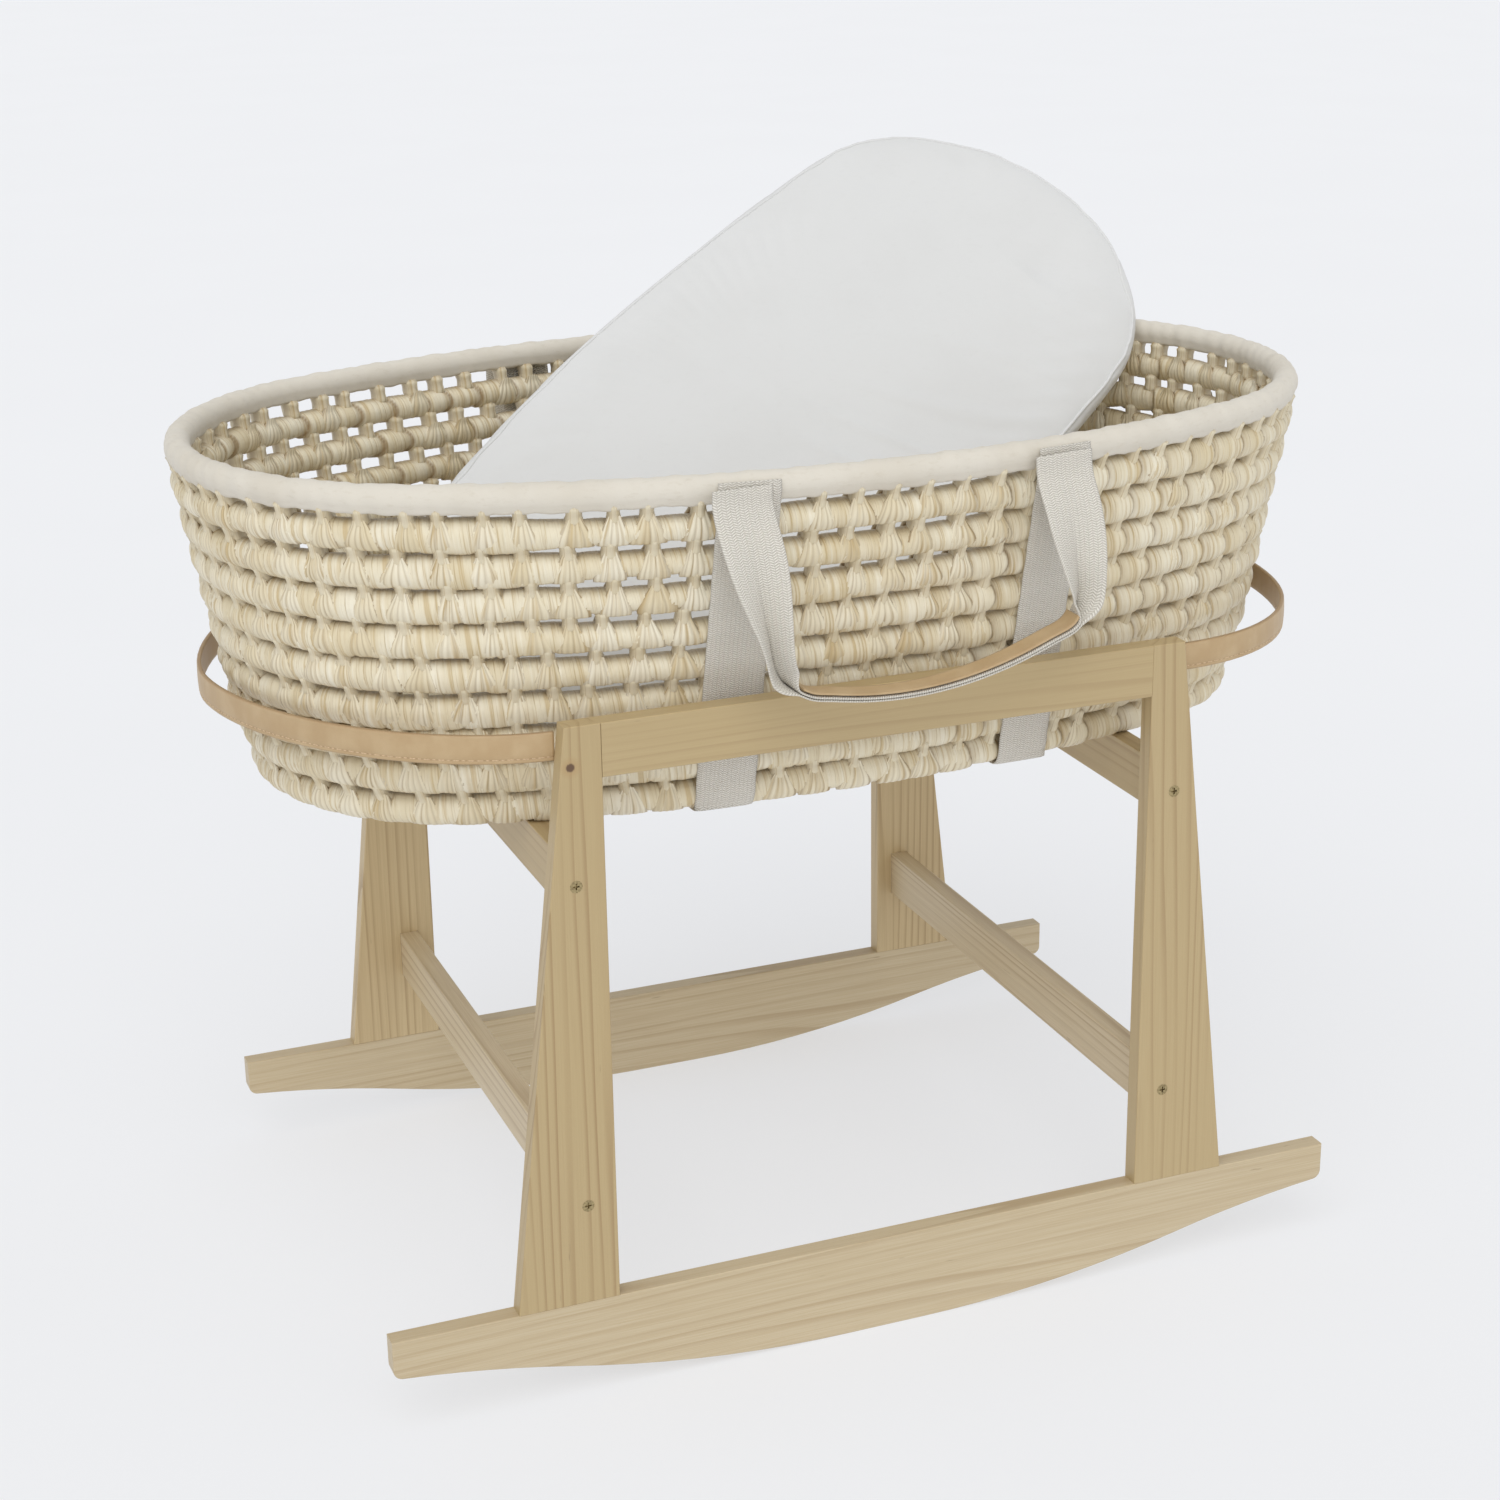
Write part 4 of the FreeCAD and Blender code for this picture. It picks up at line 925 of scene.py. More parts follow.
    def floor_heart(self, batch: MeshBatch, half: float) -> None:
        """Straight piece of coil that fills the middle of the floor.

        Args:
            batch: Mesh that receives it.
            half: Half its length.
        """
        along = np.linspace(-half, half, 80)
        turn = TAU * np.arange(14) / 14
        ends = np.sqrt(np.clip(1 - (np.abs(along) / (half + 1 * MM)) ** 20, 0, 1))
        radius, crease_shade = self.floor_wrap(np.mod(along / self.wrap, 1))
        radius = radius * ends[:, None]
        across = 1.15 * radius * np.cos(turn)
        height = self.floor_z + radius * np.sin(turn)
        points = np.stack([np.broadcast_to(along[:, None], across.shape), across, height], axis=-1)
        uv = grid_uv(along, np.append(turn, TAU) * 7 * MM)
        batch.patch(points, uv, (False, True), 0.5, crease_shade, capped=True)


@dataclass
class BoundRim:
    """Husk core of the rim in its cotton binding."""

    shape: WallShape
    core: float = 6.6 * MM
    cloth: float = 9.0 * MM
    lining: float = 7.0 * MM
    outer_hem: float = -66.0
    inner_hem: float = 232.0

    def build(self, husk: bpy.types.Material, cotton: bpy.types.Material) -> None:
        """Make the core and the cloth round it."""
        oval = self.shape.rim
        height = self.shape.rim_z
        samples = round(oval.perimeter / (2.6 * MM))
        along = np.arange(samples) * oval.perimeter / samples
        share = along / oval.perimeter
        centre, normal = oval.at(along)
        turn = TAU * np.arange(14) / 14
        local = np.mod(share * 85, 1)
        radius = (self.core - 0.5 * MM + 0.5 * MM * np.sin(local * math.pi))[:, None]
        points = centre[:, None, :] + normal[:, None, :] * (radius * np.cos(turn))[..., None]
        points[..., 2] = height + radius * np.sin(turn)
        batch = MeshBatch()
        uv = grid_uv(np.append(along, oval.perimeter), np.append(turn, TAU) * self.core)
        # The 0.2 is an even painted shade over the core inside its binding.
        batch.patch(points, uv, (True, True), 0.5, 0.2)
        present(batch.to_object("rim_core_coil", husk), "basket", "husk", "rim_core")
        self.binding(centre, normal, along, oval.perimeter, height, cotton)

    def binding(self, centre: np.ndarray, normal: np.ndarray, along: np.ndarray, perimeter: float,
                height: float, cotton: bpy.types.Material) -> None:
        """Make the folded cloth.

        Args:
            centre: Points of the rim's centre line.
            normal: Outward normals there.
            along: Distances round the rim.
            perimeter: Length once round.
            height: Height of the rim's centre line.
            cotton: Finish of the cloth.
        """
        count = 34
        share = (along / perimeter)[:, None]
        first = math.radians(self.outer_hem) + 0.10 * np.sin(TAU * 9 * share)
        first = first + 0.05 * np.sin(TAU * 31 * share)
        last = math.radians(self.inner_hem) + 0.10 * np.sin(TAU * 11 * share + 1)
        q = np.linspace(0, 1, count)[None, :]
        turn = first + (last - first) * q
        hem = np.exp(-((q - 0.035) / 0.03) ** 2) + np.exp(-((q - 0.965) / 0.03) ** 2)
        seam = np.exp(-((q - 0.11) / 0.012) ** 2) + np.exp(-((q - 0.89) / 0.012) ** 2)
        crinkle = 0.40 * MM * np.sin(TAU * 63 * share + 3 * q) * np.sin(TAU * 17 * share + 5)
        crinkle = crinkle + 0.26 * MM * np.sin(TAU * 143 * share + 8 * q + 2 * np.sin(TAU * 19 * share))
        outer = self.cloth + 0.45 * MM * hem - 0.5 * MM * seam + crinkle
        inner = np.full_like(outer, self.lining)
        rounding = np.minimum(1, np.minimum(q, 1 - q) / 0.02)
        outer = inner + (outer - inner) * (0.35 + 0.65 * np.sqrt(rounding))
        radius = np.concatenate([outer, inner[:, ::-3]], axis=1)
        angle = np.concatenate([turn, turn[:, ::-3]], axis=1)
        points = centre[:, None, :] + normal[:, None, :] * (radius * np.cos(angle))[..., None]
        points[..., 2] = height + radius * np.sin(angle) * np.where(np.sin(angle) > 0, 1.06, 1.24)
        columns = points.shape[1]
        uv = grid_uv(np.append(along, perimeter), np.linspace(0, 0.08, columns + 1))
        batch = MeshBatch()
        batch.patch(points, uv, (True, True))
        present(batch.to_object("rim_cloth", cotton), "basket", "rim_cotton", "rim_binding")


# ---------------------------------------------------------------- webbing and leather
def shell(batch: MeshBatch, middle: np.ndarray, thick: float, along: np.ndarray, across: np.ndarray,
          tone: float = 0.5, crease_shade: float = 0.0) -> None:
    """Thicken a sheet of points into a closed band with eased edges.

    Args:
        batch: Mesh that receives it.
        middle: Middle surface, stations x columns x 3.
        thick: Thickness of the band.
        along: Distance of every station.
        across: Distance of every column.
        tone: Light or dark share.
        crease_shade: Shadow share.
    """
    length, width = np.gradient(middle, axis=0), np.gradient(middle, axis=1)
    normal = unit(np.cross(length, width))
    share = np.abs(2 * (across - across[0]) / (across[-1] - across[0]) - 1)
    half = (thick / 2 * np.maximum(0.3, np.sqrt(np.maximum(0, 1 - share**12))))[None, :, None]
    ring = np.concatenate([middle + normal * half, (middle - normal * half)[:, ::-1]], axis=1)
    v = np.concatenate([across, across[::-1], across[:1]])
    batch.patch(ring, grid_uv(along, v), (False, True), tone, crease_shade, capped=True)


@dataclass
class CarryStraps:
    """Two webbing bands sewn to the rim and passed under the basket."""

    shape: WallShape
    places: tuple[float, ...] = (-100 * MM, 131 * MM)
    width: float = 42 * MM
    thick: float = 1.8 * MM
    top: float = 649.5 * MM
    corner: float = 424 * MM
    bottom: float = 403.4 * MM
    proud: float = 11.6 * MM
    lowest_row: float = 414.8 * MM
    row_pitch: float = 25.5 * MM

    def half_line(self, x: float) -> list[Place]:
        """Middle of a band from the rim down to the basket's floor, on the near side."""
        points = []
        for height in np.linspace(self.top, self.corner, 30):
            oval = self.shape.oval(min(height, self.shape.rim_z))
            reach = float(oval.side_y(np.array(x))) + self.proud
            ripple = 0.35 * MM * math.cos(TAU * (height - self.lowest_row) / self.row_pitch)
            ease = 1.2 * MM * float(smooth(636 * MM, 648 * MM, height))
            points.append((x, -(reach + ripple - ease), height))
        side = -points[-1][1]
        drop = self.corner - self.bottom
        for turn in np.radians((25, 50, 75)):
            inward = 13 * MM * (1 - math.cos(turn))
            points.append((x, -(side - inward), self.corner - drop * math.sin(turn)))
        for y in (-0.14, -0.07, 0.0):
            points.append((x, y, self.bottom))
        return points

    def build(self, webbing: bpy.types.Material) -> None:
        """Make both bands."""
        for x, label in zip(self.places, ("left", "right")):
            near = self.half_line(x)
            far = [(px, -py, pz) for px, py, pz in near[-2::-1]]
            line = spline(near + far, 260)
            across = np.linspace(-self.width / 2, self.width / 2, 12)
            middle = line[:, None, :] + across[None, :, None] * np.array([1.0, 0, 0])
            flare = self.shape.rim.side_y(middle[..., 0]) - self.shape.rim.side_y(np.array(x))
            upper = smooth(403 * MM, 409 * MM, middle[..., 2])
            middle[..., 1] += np.sign(middle[..., 1]) * flare * upper
            batch = MeshBatch()
            shell(batch, middle, self.thick, travelled(line), across)
            piece = batch.to_object(f"{label}_strap_band", webbing)
            present(piece, "basket", "webbing", f"{label}_carry_strap")


@dataclass
class CarryHandle:
    """Webbing loop folded and lined with leather where the hand holds it."""

    side: int
    hinge_y: float = 251.5 * MM
    rim_z: float = 644.3 * MM
    width: float = 42 * MM
    web: float = 1.7 * MM
    grip_half: float = 106 * MM
    grip_x: float = 22 * MM
    low: float = 140 * MM
    bow: float = 21.5 * MM
    skew: float = 25 * MM
    reach: float = 27 * MM
    lining: float = 2.0 * MM
    lining_half: float = 9.6 * MM

    def grip_z(self, x: float) -> float:
        """Height of the grip's middle at a place along it."""
        share = (x - self.grip_x) / self.grip_half
        return self.rim_z - self.low + self.bow * share**2 + self.skew / 2 * share

    def centre(self) -> np.ndarray:
        """Fold line of the webbing from the left end at the rim to the right end."""
        top = self.rim_z - 1 * MM
        left, right = self.grip_x - self.grip_half, self.grip_x + self.grip_half
        left_z, right_z = self.grip_z(left), self.grip_z(right)
        points = [
            (-108 * MM, 4 * MM, top + 4 * MM),
            (-107.5 * MM, 5 * MM, top - 12 * MM),
            (-104 * MM, 17 * MM, (2 * top + left_z) / 3),
            (-98 * MM, 25.5 * MM, (top + 2 * left_z) / 3),
            (-91.5 * MM, 27 * MM, left_z + 11 * MM),
        ]
        for share in (-0.93, -0.75, -0.5, -0.25, 0, 0.25, 0.5, 0.75, 0.93):
            x = self.grip_x + share * self.grip_half
            points.append((x, self.reach, self.grip_z(x)))
        points += [
            (128.5 * MM, 27 * MM, right_z + 13 * MM),
            (128.0 * MM, 25 * MM, (top + 2 * right_z) / 3),
            (126.5 * MM, 15.5 * MM, (2 * top + right_z) / 3),
            (125 * MM, 5 * MM, top - 12 * MM),
            (124 * MM, 4 * MM, top + 4 * MM),
        ]
        line = spline(points, 300)
        line[:, 1] = -self.hinge_y - line[:, 1]
        return line

    def build(self, webbing: bpy.types.Material, leather: bpy.types.Material) -> None:
        """Make the folded webbing and its leather lining."""
        label = "near" if self.side < 0 else "far"
        line = self.centre()
        heading = directions(line)
        outward = np.array([0.0, -1.0, 0.0])
        sideways = unit(np.cross(heading, outward))
        along = travelled(line)
        from_end = np.minimum(along, along[-1] - along)
        x = line[:, 0]
        middle_at = np.interp(self.grip_x, x[60:-60], along[60:-60])
        folded = smooth(self.grip_half + 16 * MM, self.grip_half - 1 * MM, np.abs(along - middle_at))
        gather = smooth(18 * MM, 118 * MM, from_end)
        fold = np.radians(62 * gather * (1 - folded) + 90 * folded)
        across = np.linspace(-self.width / 2, self.width / 2, 25)
        spread = np.abs(across)[None, :]
        apart = np.sign(across)[None, :] * self.web * 0.54 * folded[:, None]
        flat = across[None, :] * np.cos(fold)[:, None] + apart
        raised = spread * np.sin(fold)[:, None] - 10.5 * MM * np.sin(fold)[:, None]
        rise = sideways * np.where(sideways[:, 2:] < 0, -1.0, 1.0)
        middle = line[:, None, :] + sideways[:, None, :] * flat[..., None]
        middle = middle + outward * raised[..., None]
        if self.side > 0:
            middle[..., 1] *= -1
        batch = MeshBatch()
        shell(batch, middle if self.side < 0 else middle[:, ::-1], self.web, along, across)
        piece = batch.to_object(f"{label}_handle_strip", webbing)
        present(piece, f"{label}_handle", "webbing", f"{label}_handle_webbing")
        self.line_grip(label, line, rise, outward, leather)

    def line_grip(self, label: str, line: np.ndarray, rise: np.ndarray, outward: np.ndarray,
                  leather: bpy.types.Material) -> None:
        """Make the leather lining of the grip.

        Args:
            label: Name of the handle.
            line: Fold line of the webbing.
            rise: Upward normals along the fold line.
            outward: Direction away from the basket.
            leather: Finish of the lining.
        """
        inside = np.abs(line[:, 0] - self.grip_x) < self.grip_half - 3 * MM
        inside &= line[:, 2] < self.grip_z(self.grip_x + self.grip_half) + 6 * MM
        chosen = line[inside]
        lift = rise[inside] * (2 * self.web + self.lining / 2 - 0.75 * MM)
        centre = chosen + lift
        across = np.linspace(-self.lining_half, self.lining_half, 9)
        middle = centre[:, None, :] + outward * across[None, :, None]
        dish = (1 - (across / self.lining_half) ** 2) * -0.5 * MM
        middle = middle + rise[inside][:, None, :] * dish[None, :, None]
        middle[..., 1] *= -self.side
        batch = MeshBatch()
        sheet = middle if self.side > 0 else middle[:, ::-1]
        shell(batch, sheet, self.lining, travelled(chosen), across)
        piece = batch.to_object(f"{label}_handle_lining", leather)
        present(piece, f"{label}_handle", "grip_leather", f"{label}_handle_grip")


def stitches(batch: MeshBatch, line: np.ndarray, normal: np.ndarray, pitch: float, radius: float) -> None:
    """Row of short thread capsules along a line.

    Args:
        batch: Mesh that receives them.
        line: Stations of the seam.
        normal: Directions out of the surface there.
        pitch: Distance from stitch to stitch.
        radius: Radius of the thread.
    """
    along = travelled(line)
    heading = directions(line)
    turn = TAU * np.arange(6) / 6
    profile = np.array([(-0.40, 0.3), (-0.32, 0.85), (-0.12, 1.0), (0.12, 1.0), (0.32, 0.85), (0.40, 0.3)])
    for middle in np.arange(pitch, along[-1] - pitch, pitch):
        index = int(np.searchsorted(along, middle))
        spot, ahead, out = line[index], heading[index], normal[index]
        side = np.cross(ahead, out)
        centres = spot + ahead * (profile[:, 0] * pitch)[:, None]
        dip = (np.abs(profile[:, 0]) / 0.40) ** 2 * -0.8 * radius
        centres = centres + out * dip[:, None]
        ring = side * np.cos(turn)[:, None] + out * np.sin(turn)[:, None]
        points = centres[:, None, :] + ring[None, :, :] * (radius * profile[:, 1])[:, None, None]
        uv = grid_uv(profile[:, 0] * pitch, np.append(turn, TAU) * radius)
        batch.patch(points, uv, (False, True), capped=True)


@dataclass
class EndBelt:
    """Two-ply leather belt round one end of the basket."""

    end: int
    reach: float
    fullness: float
    start_x: float = 232.5 * MM
    span: float = 227.5 * MM
    height: float = 481 * MM
    width: float = 20 * MM
    thick: float = 3.0 * MM
    sag: float = 2.5 * MM

    def line(self) -> np.ndarray:
        """Middle of the belt from the near leg to the far leg."""
        points = []
        for angle in np.linspace(-math.pi / 2, math.pi / 2, 49):
            out = self.reach * abs(math.cos(angle)) ** (2 / self.fullness)
            across = math.copysign(self.span * abs(math.sin(angle)) ** (2 / self.fullness), angle)
            points.append((self.end * (self.start_x + out), across, 0.0))
        line = evenly(np.array(points), 320)
        share = np.abs(line[:, 1]) / self.span
        line[:, 2] = self.height - self.sag * (1 - share**2)
        return line

    def build(self, leather: bpy.types.Material, thread: bpy.types.Material) -> None:
        """Make the belt and its stitched seam."""
        label = "left" if self.end < 0 else "right"
        line = self.line()
        heading = directions(line)
        outward = unit(np.stack([heading[:, 1], -heading[:, 0], np.zeros(len(line))], axis=1)) * self.end
        outward = np.where((outward[:, :1] * self.end) < -0.2, -outward, outward)
        up = np.array([0.0, 0.0, 1.0])
        half = self.width / 2
        levels = np.array([-1, -0.97, -0.9, -0.78, -0.70, -0.6, -0.3, 0, 0.3, 0.6, 0.8, 0.9, 0.97, 1])
        puffed = np.array([0.45, 0.8, 0.97, 0.98, 0.80, 1.05, 1.18, 1.2, 1.18, 1.1, 1.02, 0.97, 0.8, 0.45])
        front = line[:, None, :] + up * (levels * half)[None, :, None]
        front = front + outward[:, None, :] * (self.thick / 2 * puffed)[None, :, None]
        back = line[:, None, :] + up * (levels[::-3] * half)[None, :, None]
        back = back - outward[:, None, :] * (self.thick / 2)
        ring = np.concatenate([front, back], axis=1)
        if self.end > 0:
            ring = ring[:, ::-1]
        columns = ring.shape[1]
        # Painted shade along the seam groove and over the back face; the ends of the list darken the belt's
        # edge lines.
        crease_shade = np.array([1, 0.5, 0, 0, 0.8, 0, 0, 0, 0, 0, 0, 0, 0.5, 1])
        crease_shade = np.concatenate([crease_shade, np.full(5, 0.4)])
        crease_shade = crease_shade[::-1] if self.end > 0 else crease_shade
        batch = MeshBatch()
        uv = grid_uv(travelled(line), np.linspace(0, 46 * MM, columns + 1))
        batch.patch(ring, uv, (False, True), 0.5, crease_shade[None, :], capped=True)
        present(batch.to_object(f"{label}_end_belt", leather), "stand", "belt_leather", f"{label}_belt")
        seam = line + up * (-0.70 * half) + outward * (self.thick / 2 * 0.86)
        sewn = MeshBatch()
        stitches(sewn, seam, outward, 3.3 * MM, 0.42 * MM)
        present(sewn.to_object(f"{label}_belt_stitches", thread), "stand", "belt_leather")


# ---------------------------------------------------------------- mattress
@dataclass
class Mattress:
    """Soft oval mattress in a close-fitting cotton cover."""

    outline: Oval = Oval(371 * MM, 166.5 * MM, 151 * MM)
    fuller: float = 0.045
    thick: float = 28 * MM
    edge: float = 6 * MM
    grain: float = 6 * MM
    swelling: float = 3.2 * MM
    frames: int = 20
    pressure: float = 4.0
    lean: float = 39.4
    turn: float = 35.7

    def build(self, cotton: bpy.types.Material) -> None:
        """Make the filled cover and its two corded seams."""
        low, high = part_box("mattress_cover")
        centre = np.array((low + high) / 2)
        lean = Euler((math.radians(self.lean), 0, 0)).to_matrix()
        matrix = np.array(lean @ Euler((0, 0, math.radians(self.turn))).to_matrix())
        piece = self.slab(cotton)
        self.remesh(piece)
        self.swell(piece)
        self.round_off(piece)
        points = self.dressed(read_points(piece))
        LOG.info("mattress half size %s mm", np.round(np.abs(points).max(axis=0) / MM, 1))
        write_points(piece, points)
        faces = [tuple(face.vertices) for face in piece.data.polygons]
        tree = BVHTree.FromPolygons(points.tolist(), faces)
        write_points(piece, points @ matrix.T + centre)
        present(piece, "mattress", "mattress_cotton", "mattress_cover", "mattress_foam")
        sewn = MeshBatch()
        for level, radius in ((0.5, 1.3 * MM), (-0.5, 0.7 * MM)):
            seam, out = self.seam(tree, level * (self.thick - 4 * MM))
            self.cord(sewn, seam @ matrix.T + centre, out @ matrix.T, radius)
        present(sewn.to_object("mattress_welt", cotton), "mattress", "mattress_cotton")

    def slab(self, cotton: bpy.types.Material) -> bpy.types.Object:
        """Make the plain pad that the cover starts from, lying in its own frame."""
        share = np.linspace(0, 1, 241)
        stack = []
        for scale, inset, level in self.profile():
            outline = self.outline.grown(-inset)
            points, _ = outline.at(share[:-1] * outline.perimeter)
            points[:, 1] *= 1 + self.fuller * smooth(0.06, 0.26, points[:, 0])
            points[:, 2] = level
            stack.append(points * np.array([scale, scale, 1]))
        uv = grid_uv(np.linspace(0, 0.4, len(stack)), share * 1.9)
        batch = MeshBatch()
        batch.patch(np.stack(stack), uv, (False, True), capped=True)
        return batch.to_object("mattress_pad", cotton)

    def profile(self) -> list[Place]:
        """Scale, inset and level of each ring, from the middle of the top to the middle below."""
        half = self.thick / 2
        flat = [(scale, self.edge, half) for scale in np.linspace(0.02, 0.985, 30)]
        rounded = []
        for angle in np.radians(np.linspace(4, 88, 7)):
            drop = half - self.edge * (1 - math.cos(angle))
            rounded.append((1.0, self.edge * (1 - math.sin(angle)), drop))
        below = [(scale, inset, -level) for scale, inset, level in flat + rounded]
        return flat + rounded + [(1.0, 0.0, 0.0)] + below[::-1]

    def remesh(self, piece: bpy.types.Object) -> None:
        """Give the cover an even net of threads."""
        even = piece.modifiers.new("even", "REMESH")
        even.mode = "VOXEL"
        even.voxel_size = self.grain
        settle(piece)

    def swell(self, piece: bpy.types.Object) -> None:
        """Let the cover swell over its filling as cloth, with a cap on every point's move."""
        scene = bpy.context.scene
        start = read_points(piece)
        cloth = piece.modifiers.new("swell", "CLOTH")
        cloth.settings.use_pressure = True
        cloth.settings.uniform_pressure_force = self.pressure
        cloth.settings.effector_weights.gravity = 0.0
        cloth.settings.tension_stiffness = 12.0
        cloth.settings.compression_stiffness = 12.0
        cloth.settings.bending_stiffness = 0.6
        cloth.point_cache.frame_start = 1
        cloth.point_cache.frame_end = self.frames
        for number in range(1, self.frames + 1):
            scene.frame_set(number)
        swollen = read_points(piece.evaluated_get(bpy.context.evaluated_depsgraph_get()))
        piece.modifiers.remove(cloth)
        scene.frame_set(1)
        moved = swollen - start
        size = np.linalg.norm(moved, axis=1, keepdims=True)
        capped = self.swelling * np.tanh(size / self.swelling)
        write_points(piece, start + moved / np.maximum(size, 1e-9) * capped)
        LOG.info("cover swelled by %.1f mm at most", float(capped.max()) / MM)

    def round_off(self, piece: bpy.types.Object) -> None:
        """Smooth the net once and round it with one subdivision."""
        ease = piece.modifiers.new("ease", "SMOOTH")
        ease.iterations = 2
        rounded = piece.modifiers.new("round", "SUBSURF")
        rounded.levels = rounded.render_levels = 1
        settle(piece)

    def inset(self, x: np.ndarray, y: np.ndarray) -> np.ndarray:
        """Distance of places inside the outline."""
        oval = self.outline
        beyond = np.abs(x) - (oval.length - oval.end)
        at_end = (beyond > 0) & (np.arctan2(np.abs(y), beyond) < oval.turn)
        across = np.abs(y) + oval.side - oval.width
        return np.where(at_end, oval.end - np.hypot(beyond, y), oval.side - np.hypot(x, across))

    def dressed(self, points: np.ndarray) -> np.ndarray:
        """Crown, dents and wrinkles of the cover.

        Args:
            points: Points of the cover.
        Returns:
            The moved points.
        """
        x, y, z = points.T
        inset = self.inset(x, y)
        face = smooth(self.thick / 2 - 9 * MM, self.thick / 2 - 2 * MM, z)
        depth = smooth(0.0, 0.05, inset)
        wave = 1.1 * MM * np.sin(x * 21 + 1.3 * np.sin(y * 17)) * np.sin(y * 26 + 2)
        folds = 2.2 * MM * np.exp(-((x - 0.02) / 0.15) ** 2) * smooth(0.03, -0.09, y)
        folds = folds * np.maximum(0, np.sin(x * 120 + y * 52 + 2 * np.sin(x * 27))) ** 3
        pulls = 0.8 * MM * np.exp(-(inset / 0.04) ** 2) * np.sin(np.arctan2(y, x) * 61 + 2 * np.sin(x * 30))
        dent = -4.0 * MM * np.exp(-(((x - 0.28) / 0.030) ** 2 + ((y + 0.05) / 0.018) ** 2))
        ridge = 2.2 * MM * np.exp(-(((x - 0.255) / 0.010) ** 2 + ((y + 0.045) / 0.03) ** 2))
        crown = 1.2 * MM * smooth(0.0, 0.12, inset) - 1.0 * MM * (1 - smooth(0.0, 0.03, inset))
        moved = points.copy()
        moved[:, 2] += face * (crown + depth * (wave + folds + pulls + dent + ridge))
        return moved

    def seam(self, tree: BVHTree, level: float) -> tuple[np.ndarray, np.ndarray]:
        """Line on the side of the cover at one level, found from outside.

        Args:
            tree: Surface of the cover.
            level: Height of the seam in the mattress's own frame.
        Returns:
            Points of the line and outward directions.
        """
        reach = 30 * MM
        outer = self.outline.grown(reach)
        starts, normals = outer.at(np.linspace(0, 1, 301)[:-1] * outer.perimeter)
        line = []
        for start, normal in zip(starts, normals):
            hit = tree.ray_cast(Vector((start[0], start[1], level)), Vector(-normal))[0]
            line.append(tuple(hit) if hit else tuple(start - normal * reach))
        return np.array(line), normals

    def cord(self, batch: MeshBatch, seam: np.ndarray, out: np.ndarray, radius: float) -> None:
        """Thin corded seam along the edge of the cover.

        Args:
            batch: Mesh that receives it.
            seam: Points of the closed seam.
            out: Outward directions there.
            radius: Radius of the cord.
        """
        heading = unit(np.roll(seam, -1, axis=0) - np.roll(seam, 1, axis=0))
        side = np.cross(heading, out)
        turn = TAU * np.arange(8) / 8
        ring = side[:, None, :] * np.cos(turn)[None, :, None]
        ring = ring + out[:, None, :] * np.sin(turn)[None, :, None]
        points = seam[:, None, :] + ring * radius
        along = np.append(travelled(seam), 2.0)
        batch.patch(points, grid_uv(along, np.append(turn, TAU) * MM), (True, True))


def read_points(piece: bpy.types.Object) -> np.ndarray:
    """Points of a piece's mesh as rows."""
    flat = np.empty(len(piece.data.vertices) * 3)
    piece.data.vertices.foreach_get("co", flat)
    return flat.reshape(-1, 3)


def write_points(piece: bpy.types.Object, points: np.ndarray) -> None:
    """Move the points of a piece's mesh."""
    piece.data.vertices.foreach_set("co", points.ravel())
    piece.data.update()


def settle(piece: bpy.types.Object) -> None:
    """Make a piece's modifiers part of its mesh."""
    shown = piece.evaluated_get(bpy.context.evaluated_depsgraph_get())
    settled = bpy.data.meshes.new_from_object(shown)
    for modifier in list(piece.modifiers):
        piece.modifiers.remove(modifier)
    piece.data = settled
    settled.polygons.foreach_set("use_smooth", np.ones(len(settled.polygons), bool))


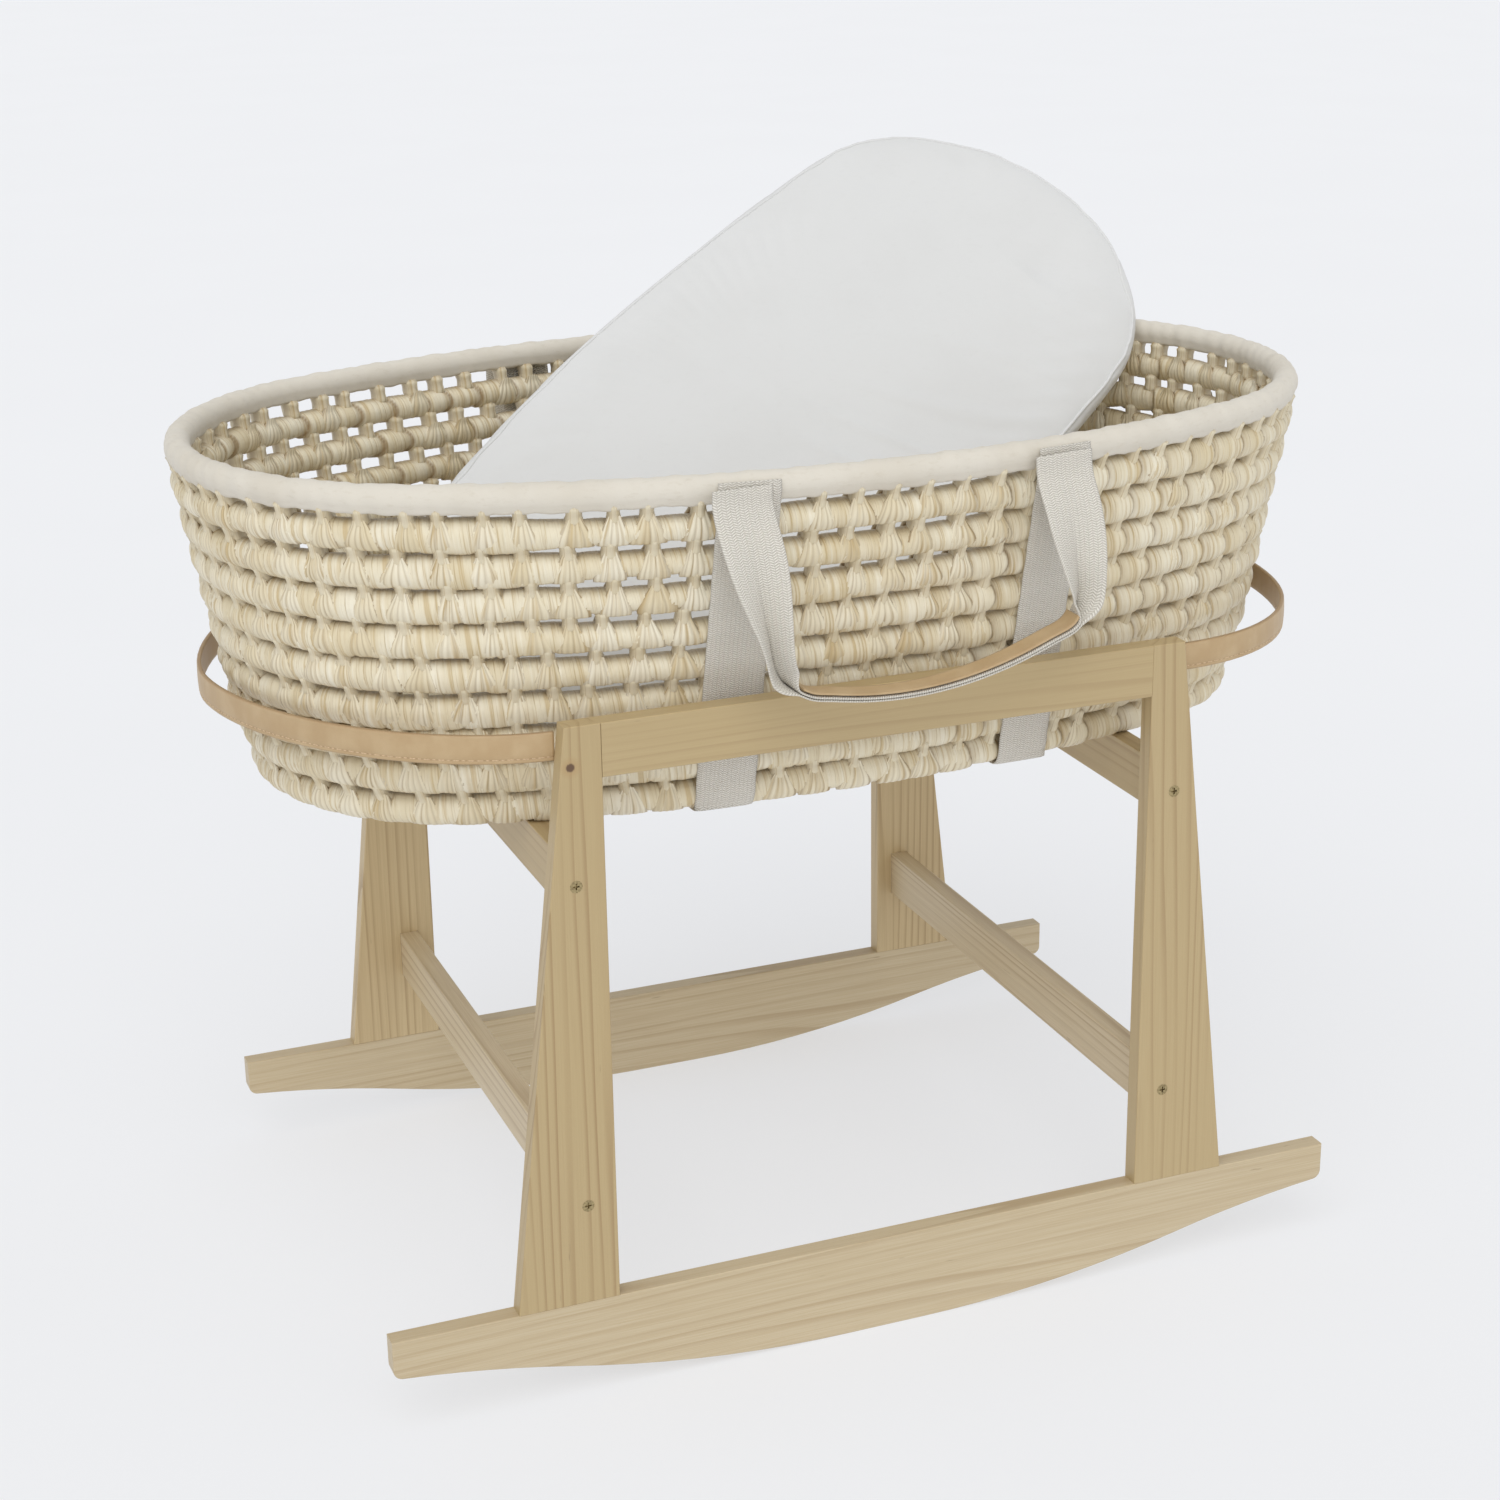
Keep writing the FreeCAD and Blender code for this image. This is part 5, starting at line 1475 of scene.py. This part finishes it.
# ---------------------------------------------------------------- stand and studio
@dataclass
class WoodenStand:
    """Finishes of the boards, dowels, screws and rivets, which keep their shape."""

    pieces: tuple[str, ...] = ("leg", "rail", "rocker", "bar", "screw", "rivet", "dowel")

    def build(self) -> None:
        """Give every board a finish along its own grain."""
        dice = Random(7)
        brass = BrassFinish().build()
        dark = BrassFinish("rivet_dark", (0.10, 0.075, 0.055), (0.05, 0.04, 0.03)).build()
        beech = PineFinish("dowel_beech", Grain.CROSSWISE, (0, 0, 0), pale=(0.62, 0.46, 0.28)).build()
        for name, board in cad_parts.items():
            if not any(key in name for key in self.pieces):
                continue
            low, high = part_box(name)
            if "rivet" in name:
                material = dark
            elif "screw" in name:
                material = brass
            elif "dowel" in name:
                material = beech
            else:
                material = self.pine(name, low, high, dice)
            for slot in board.material_slots:
                slot.material = material
            LOG.info("%s: %s", name, material.name)

    def pine(self, name: str, low: Vector, high: Vector, dice: Random) -> bpy.types.Material:
        """Pine finish for one board, with growth rings centred outside it.

        Args:
            name: Name of the board.
            low: Lower corner of the board.
            high: Upper corner of the board.
            dice: Source of differences between boards.
        Returns:
            The finish.
        """
        middle = (low + high) / 2
        ring, contrast = 7.5 * MM, 0.80
        if "bar" in name:
            grain = Grain.CROSSWISE
            heart = (middle.x + dice.choice((-1, 1)) * dice.uniform(0.03, 0.05), middle.y, middle.z - 0.05)
        elif "leg" in name:
            grain = Grain.UPRIGHT
            heart = (middle.x + dice.choice((-1, 1)) * dice.uniform(0.035, 0.07),
                     middle.y + dice.choice((-1, 1)) * dice.uniform(0.02, 0.04), middle.z)
        else:
            grain = Grain.LENGTHWISE
            heart = (middle.x, middle.y + dice.uniform(0.03, 0.05), middle.z + dice.choice((-1, 1)) * 0.05)
            ring, contrast = (9 * MM, 0.5) if "rocker" in name else (6 * MM, 0.4)
        knots = ()
        if name == "near_left_leg":
            knots = ((low.x + 0.052, low.y, high.z - 0.028),)
        pale, sap = (0.478, 0.363, 0.188), (0.53, 0.415, 0.236)
        if "rocker" in name:
            pale, sap = (0.57, 0.47, 0.31), (0.63, 0.535, 0.375)
        elif "lower" in name:
            pale, sap = (0.62, 0.51, 0.34), (0.67, 0.57, 0.41)
        # Painted light: boards with far in their names get a lighter pine, standing in for the light that
        # the far legs lack in the basket's shadow.
        elif "far" in name:
            pale, sap = (0.56, 0.43, 0.24), (0.62, 0.50, 0.30)
        return PineFinish(f"pine_{name}", grain, heart, pale=pale, sap=sap, ring=ring,
                          contrast=contrast, knots=knots).build()


@dataclass
class Studio:
    """Pale sweep, soft lights and the camera."""

    lens: float = 65.85
    place: Place = (-0.73109, -1.85477, 1.07566)
    tilt: Place = (70.53347, 0.81900, -21.65430)
    half: float = 70.0
    air: Colour = (0.965, 0.98, 1.0)
    brightness: float = 0.64

    def build(self) -> None:
        """Make the studio."""
        self.camera()
        self.sweep()
        self.sun("key", (-0.42, -0.50, 1.0), 0.92, 50.0)
        self.sun("front", (-0.10, -1.0, 0.55), 0.62, 60.0)
        world = bpy.data.worlds.new("studio_air")
        world.use_nodes = True
        background = world.node_tree.nodes["Background"]
        background.inputs["Color"].default_value = (*self.air, 1)
        background.inputs["Strength"].default_value = self.brightness
        bpy.context.scene.world = world
        bpy.context.scene.view_settings.view_transform = "Standard"

    def camera(self) -> None:
        """Set up the camera."""
        data = bpy.data.cameras.new("view")
        data.lens = self.lens
        data.sensor_width = 36.0
        holder = bpy.data.objects.new("view", data)
        holder.location = self.place
        holder.rotation_euler = [math.radians(angle) for angle in self.tilt]
        bpy.context.scene.collection.objects.link(holder)
        bpy.context.scene.camera = holder

    def sweep(self) -> None:
        """Make the floor."""
        corners = [(x * self.half, y * self.half, 0) for x, y in ((-1, -1), (1, -1), (1, 1), (-1, 1))]
        mesh = bpy.data.meshes.new("sweep")
        mesh.from_pydata(corners, [], [(0, 1, 2, 3)])
        floor = bpy.data.objects.new("sweep", mesh)
        mesh.materials.append(StudioFinish().build())
        bpy.context.scene.collection.objects.link(floor)

    def sun(self, name: str, source: Colour, strength: float, spread: float) -> None:
        """Add one broad light, even over the whole floor.

        Args:
            name: Name of the light.
            source: Direction that it comes from.
            strength: Strength of its light.
            spread: Angle that it fills, in degrees.
        """
        data = bpy.data.lights.new(name, "SUN")
        data.energy = strength
        data.angle = math.radians(spread)
        lamp = bpy.data.objects.new(name, data)
        lamp.rotation_euler = (-Vector(source)).to_track_quat("-Z", "Y").to_euler()
        bpy.context.scene.collection.objects.link(lamp)


def main() -> None:
    """Build the studio, dress the stand and make the basket, straps and mattress."""
    logging.basicConfig(level=logging.INFO)
    Studio().build()
    WoodenStand().build()
    husk = HuskFinish().build()
    webbing = WebbingFinish().build()
    grip_leather = LeatherFinish("grip_leather").build()
    belt_leather = LeatherFinish("belt_leather").build()
    thread = ThreadFinish("belt_thread", (0.70, 0.52, 0.32)).build()
    rim_cotton = CottonFinish("rim_cotton", (0.70, 0.655, 0.57), (0.57, 0.51, 0.41)).build()
    cover = CottonFinish("mattress_cotton", (0.70, 0.70, 0.69), (0.64, 0.635, 0.62), 0.45 * MM,
                         0.05 * MM, 0.2).build()
    shape = WallShape()
    CoiledBasket(shape).build(husk)
    BoundRim(shape).build(husk, rim_cotton)
    CarryStraps(shape).build(webbing)
    for side in (-1, 1):
        CarryHandle(side).build(webbing, grip_leather)
    EndBelt(end=-1, reach=186 * MM, fullness=1.75).build(belt_leather, thread)
    EndBelt(end=1, reach=172 * MM, fullness=2.2).build(belt_leather, thread)
    Mattress().build(cover)


if __name__ == "__main__":
    main()
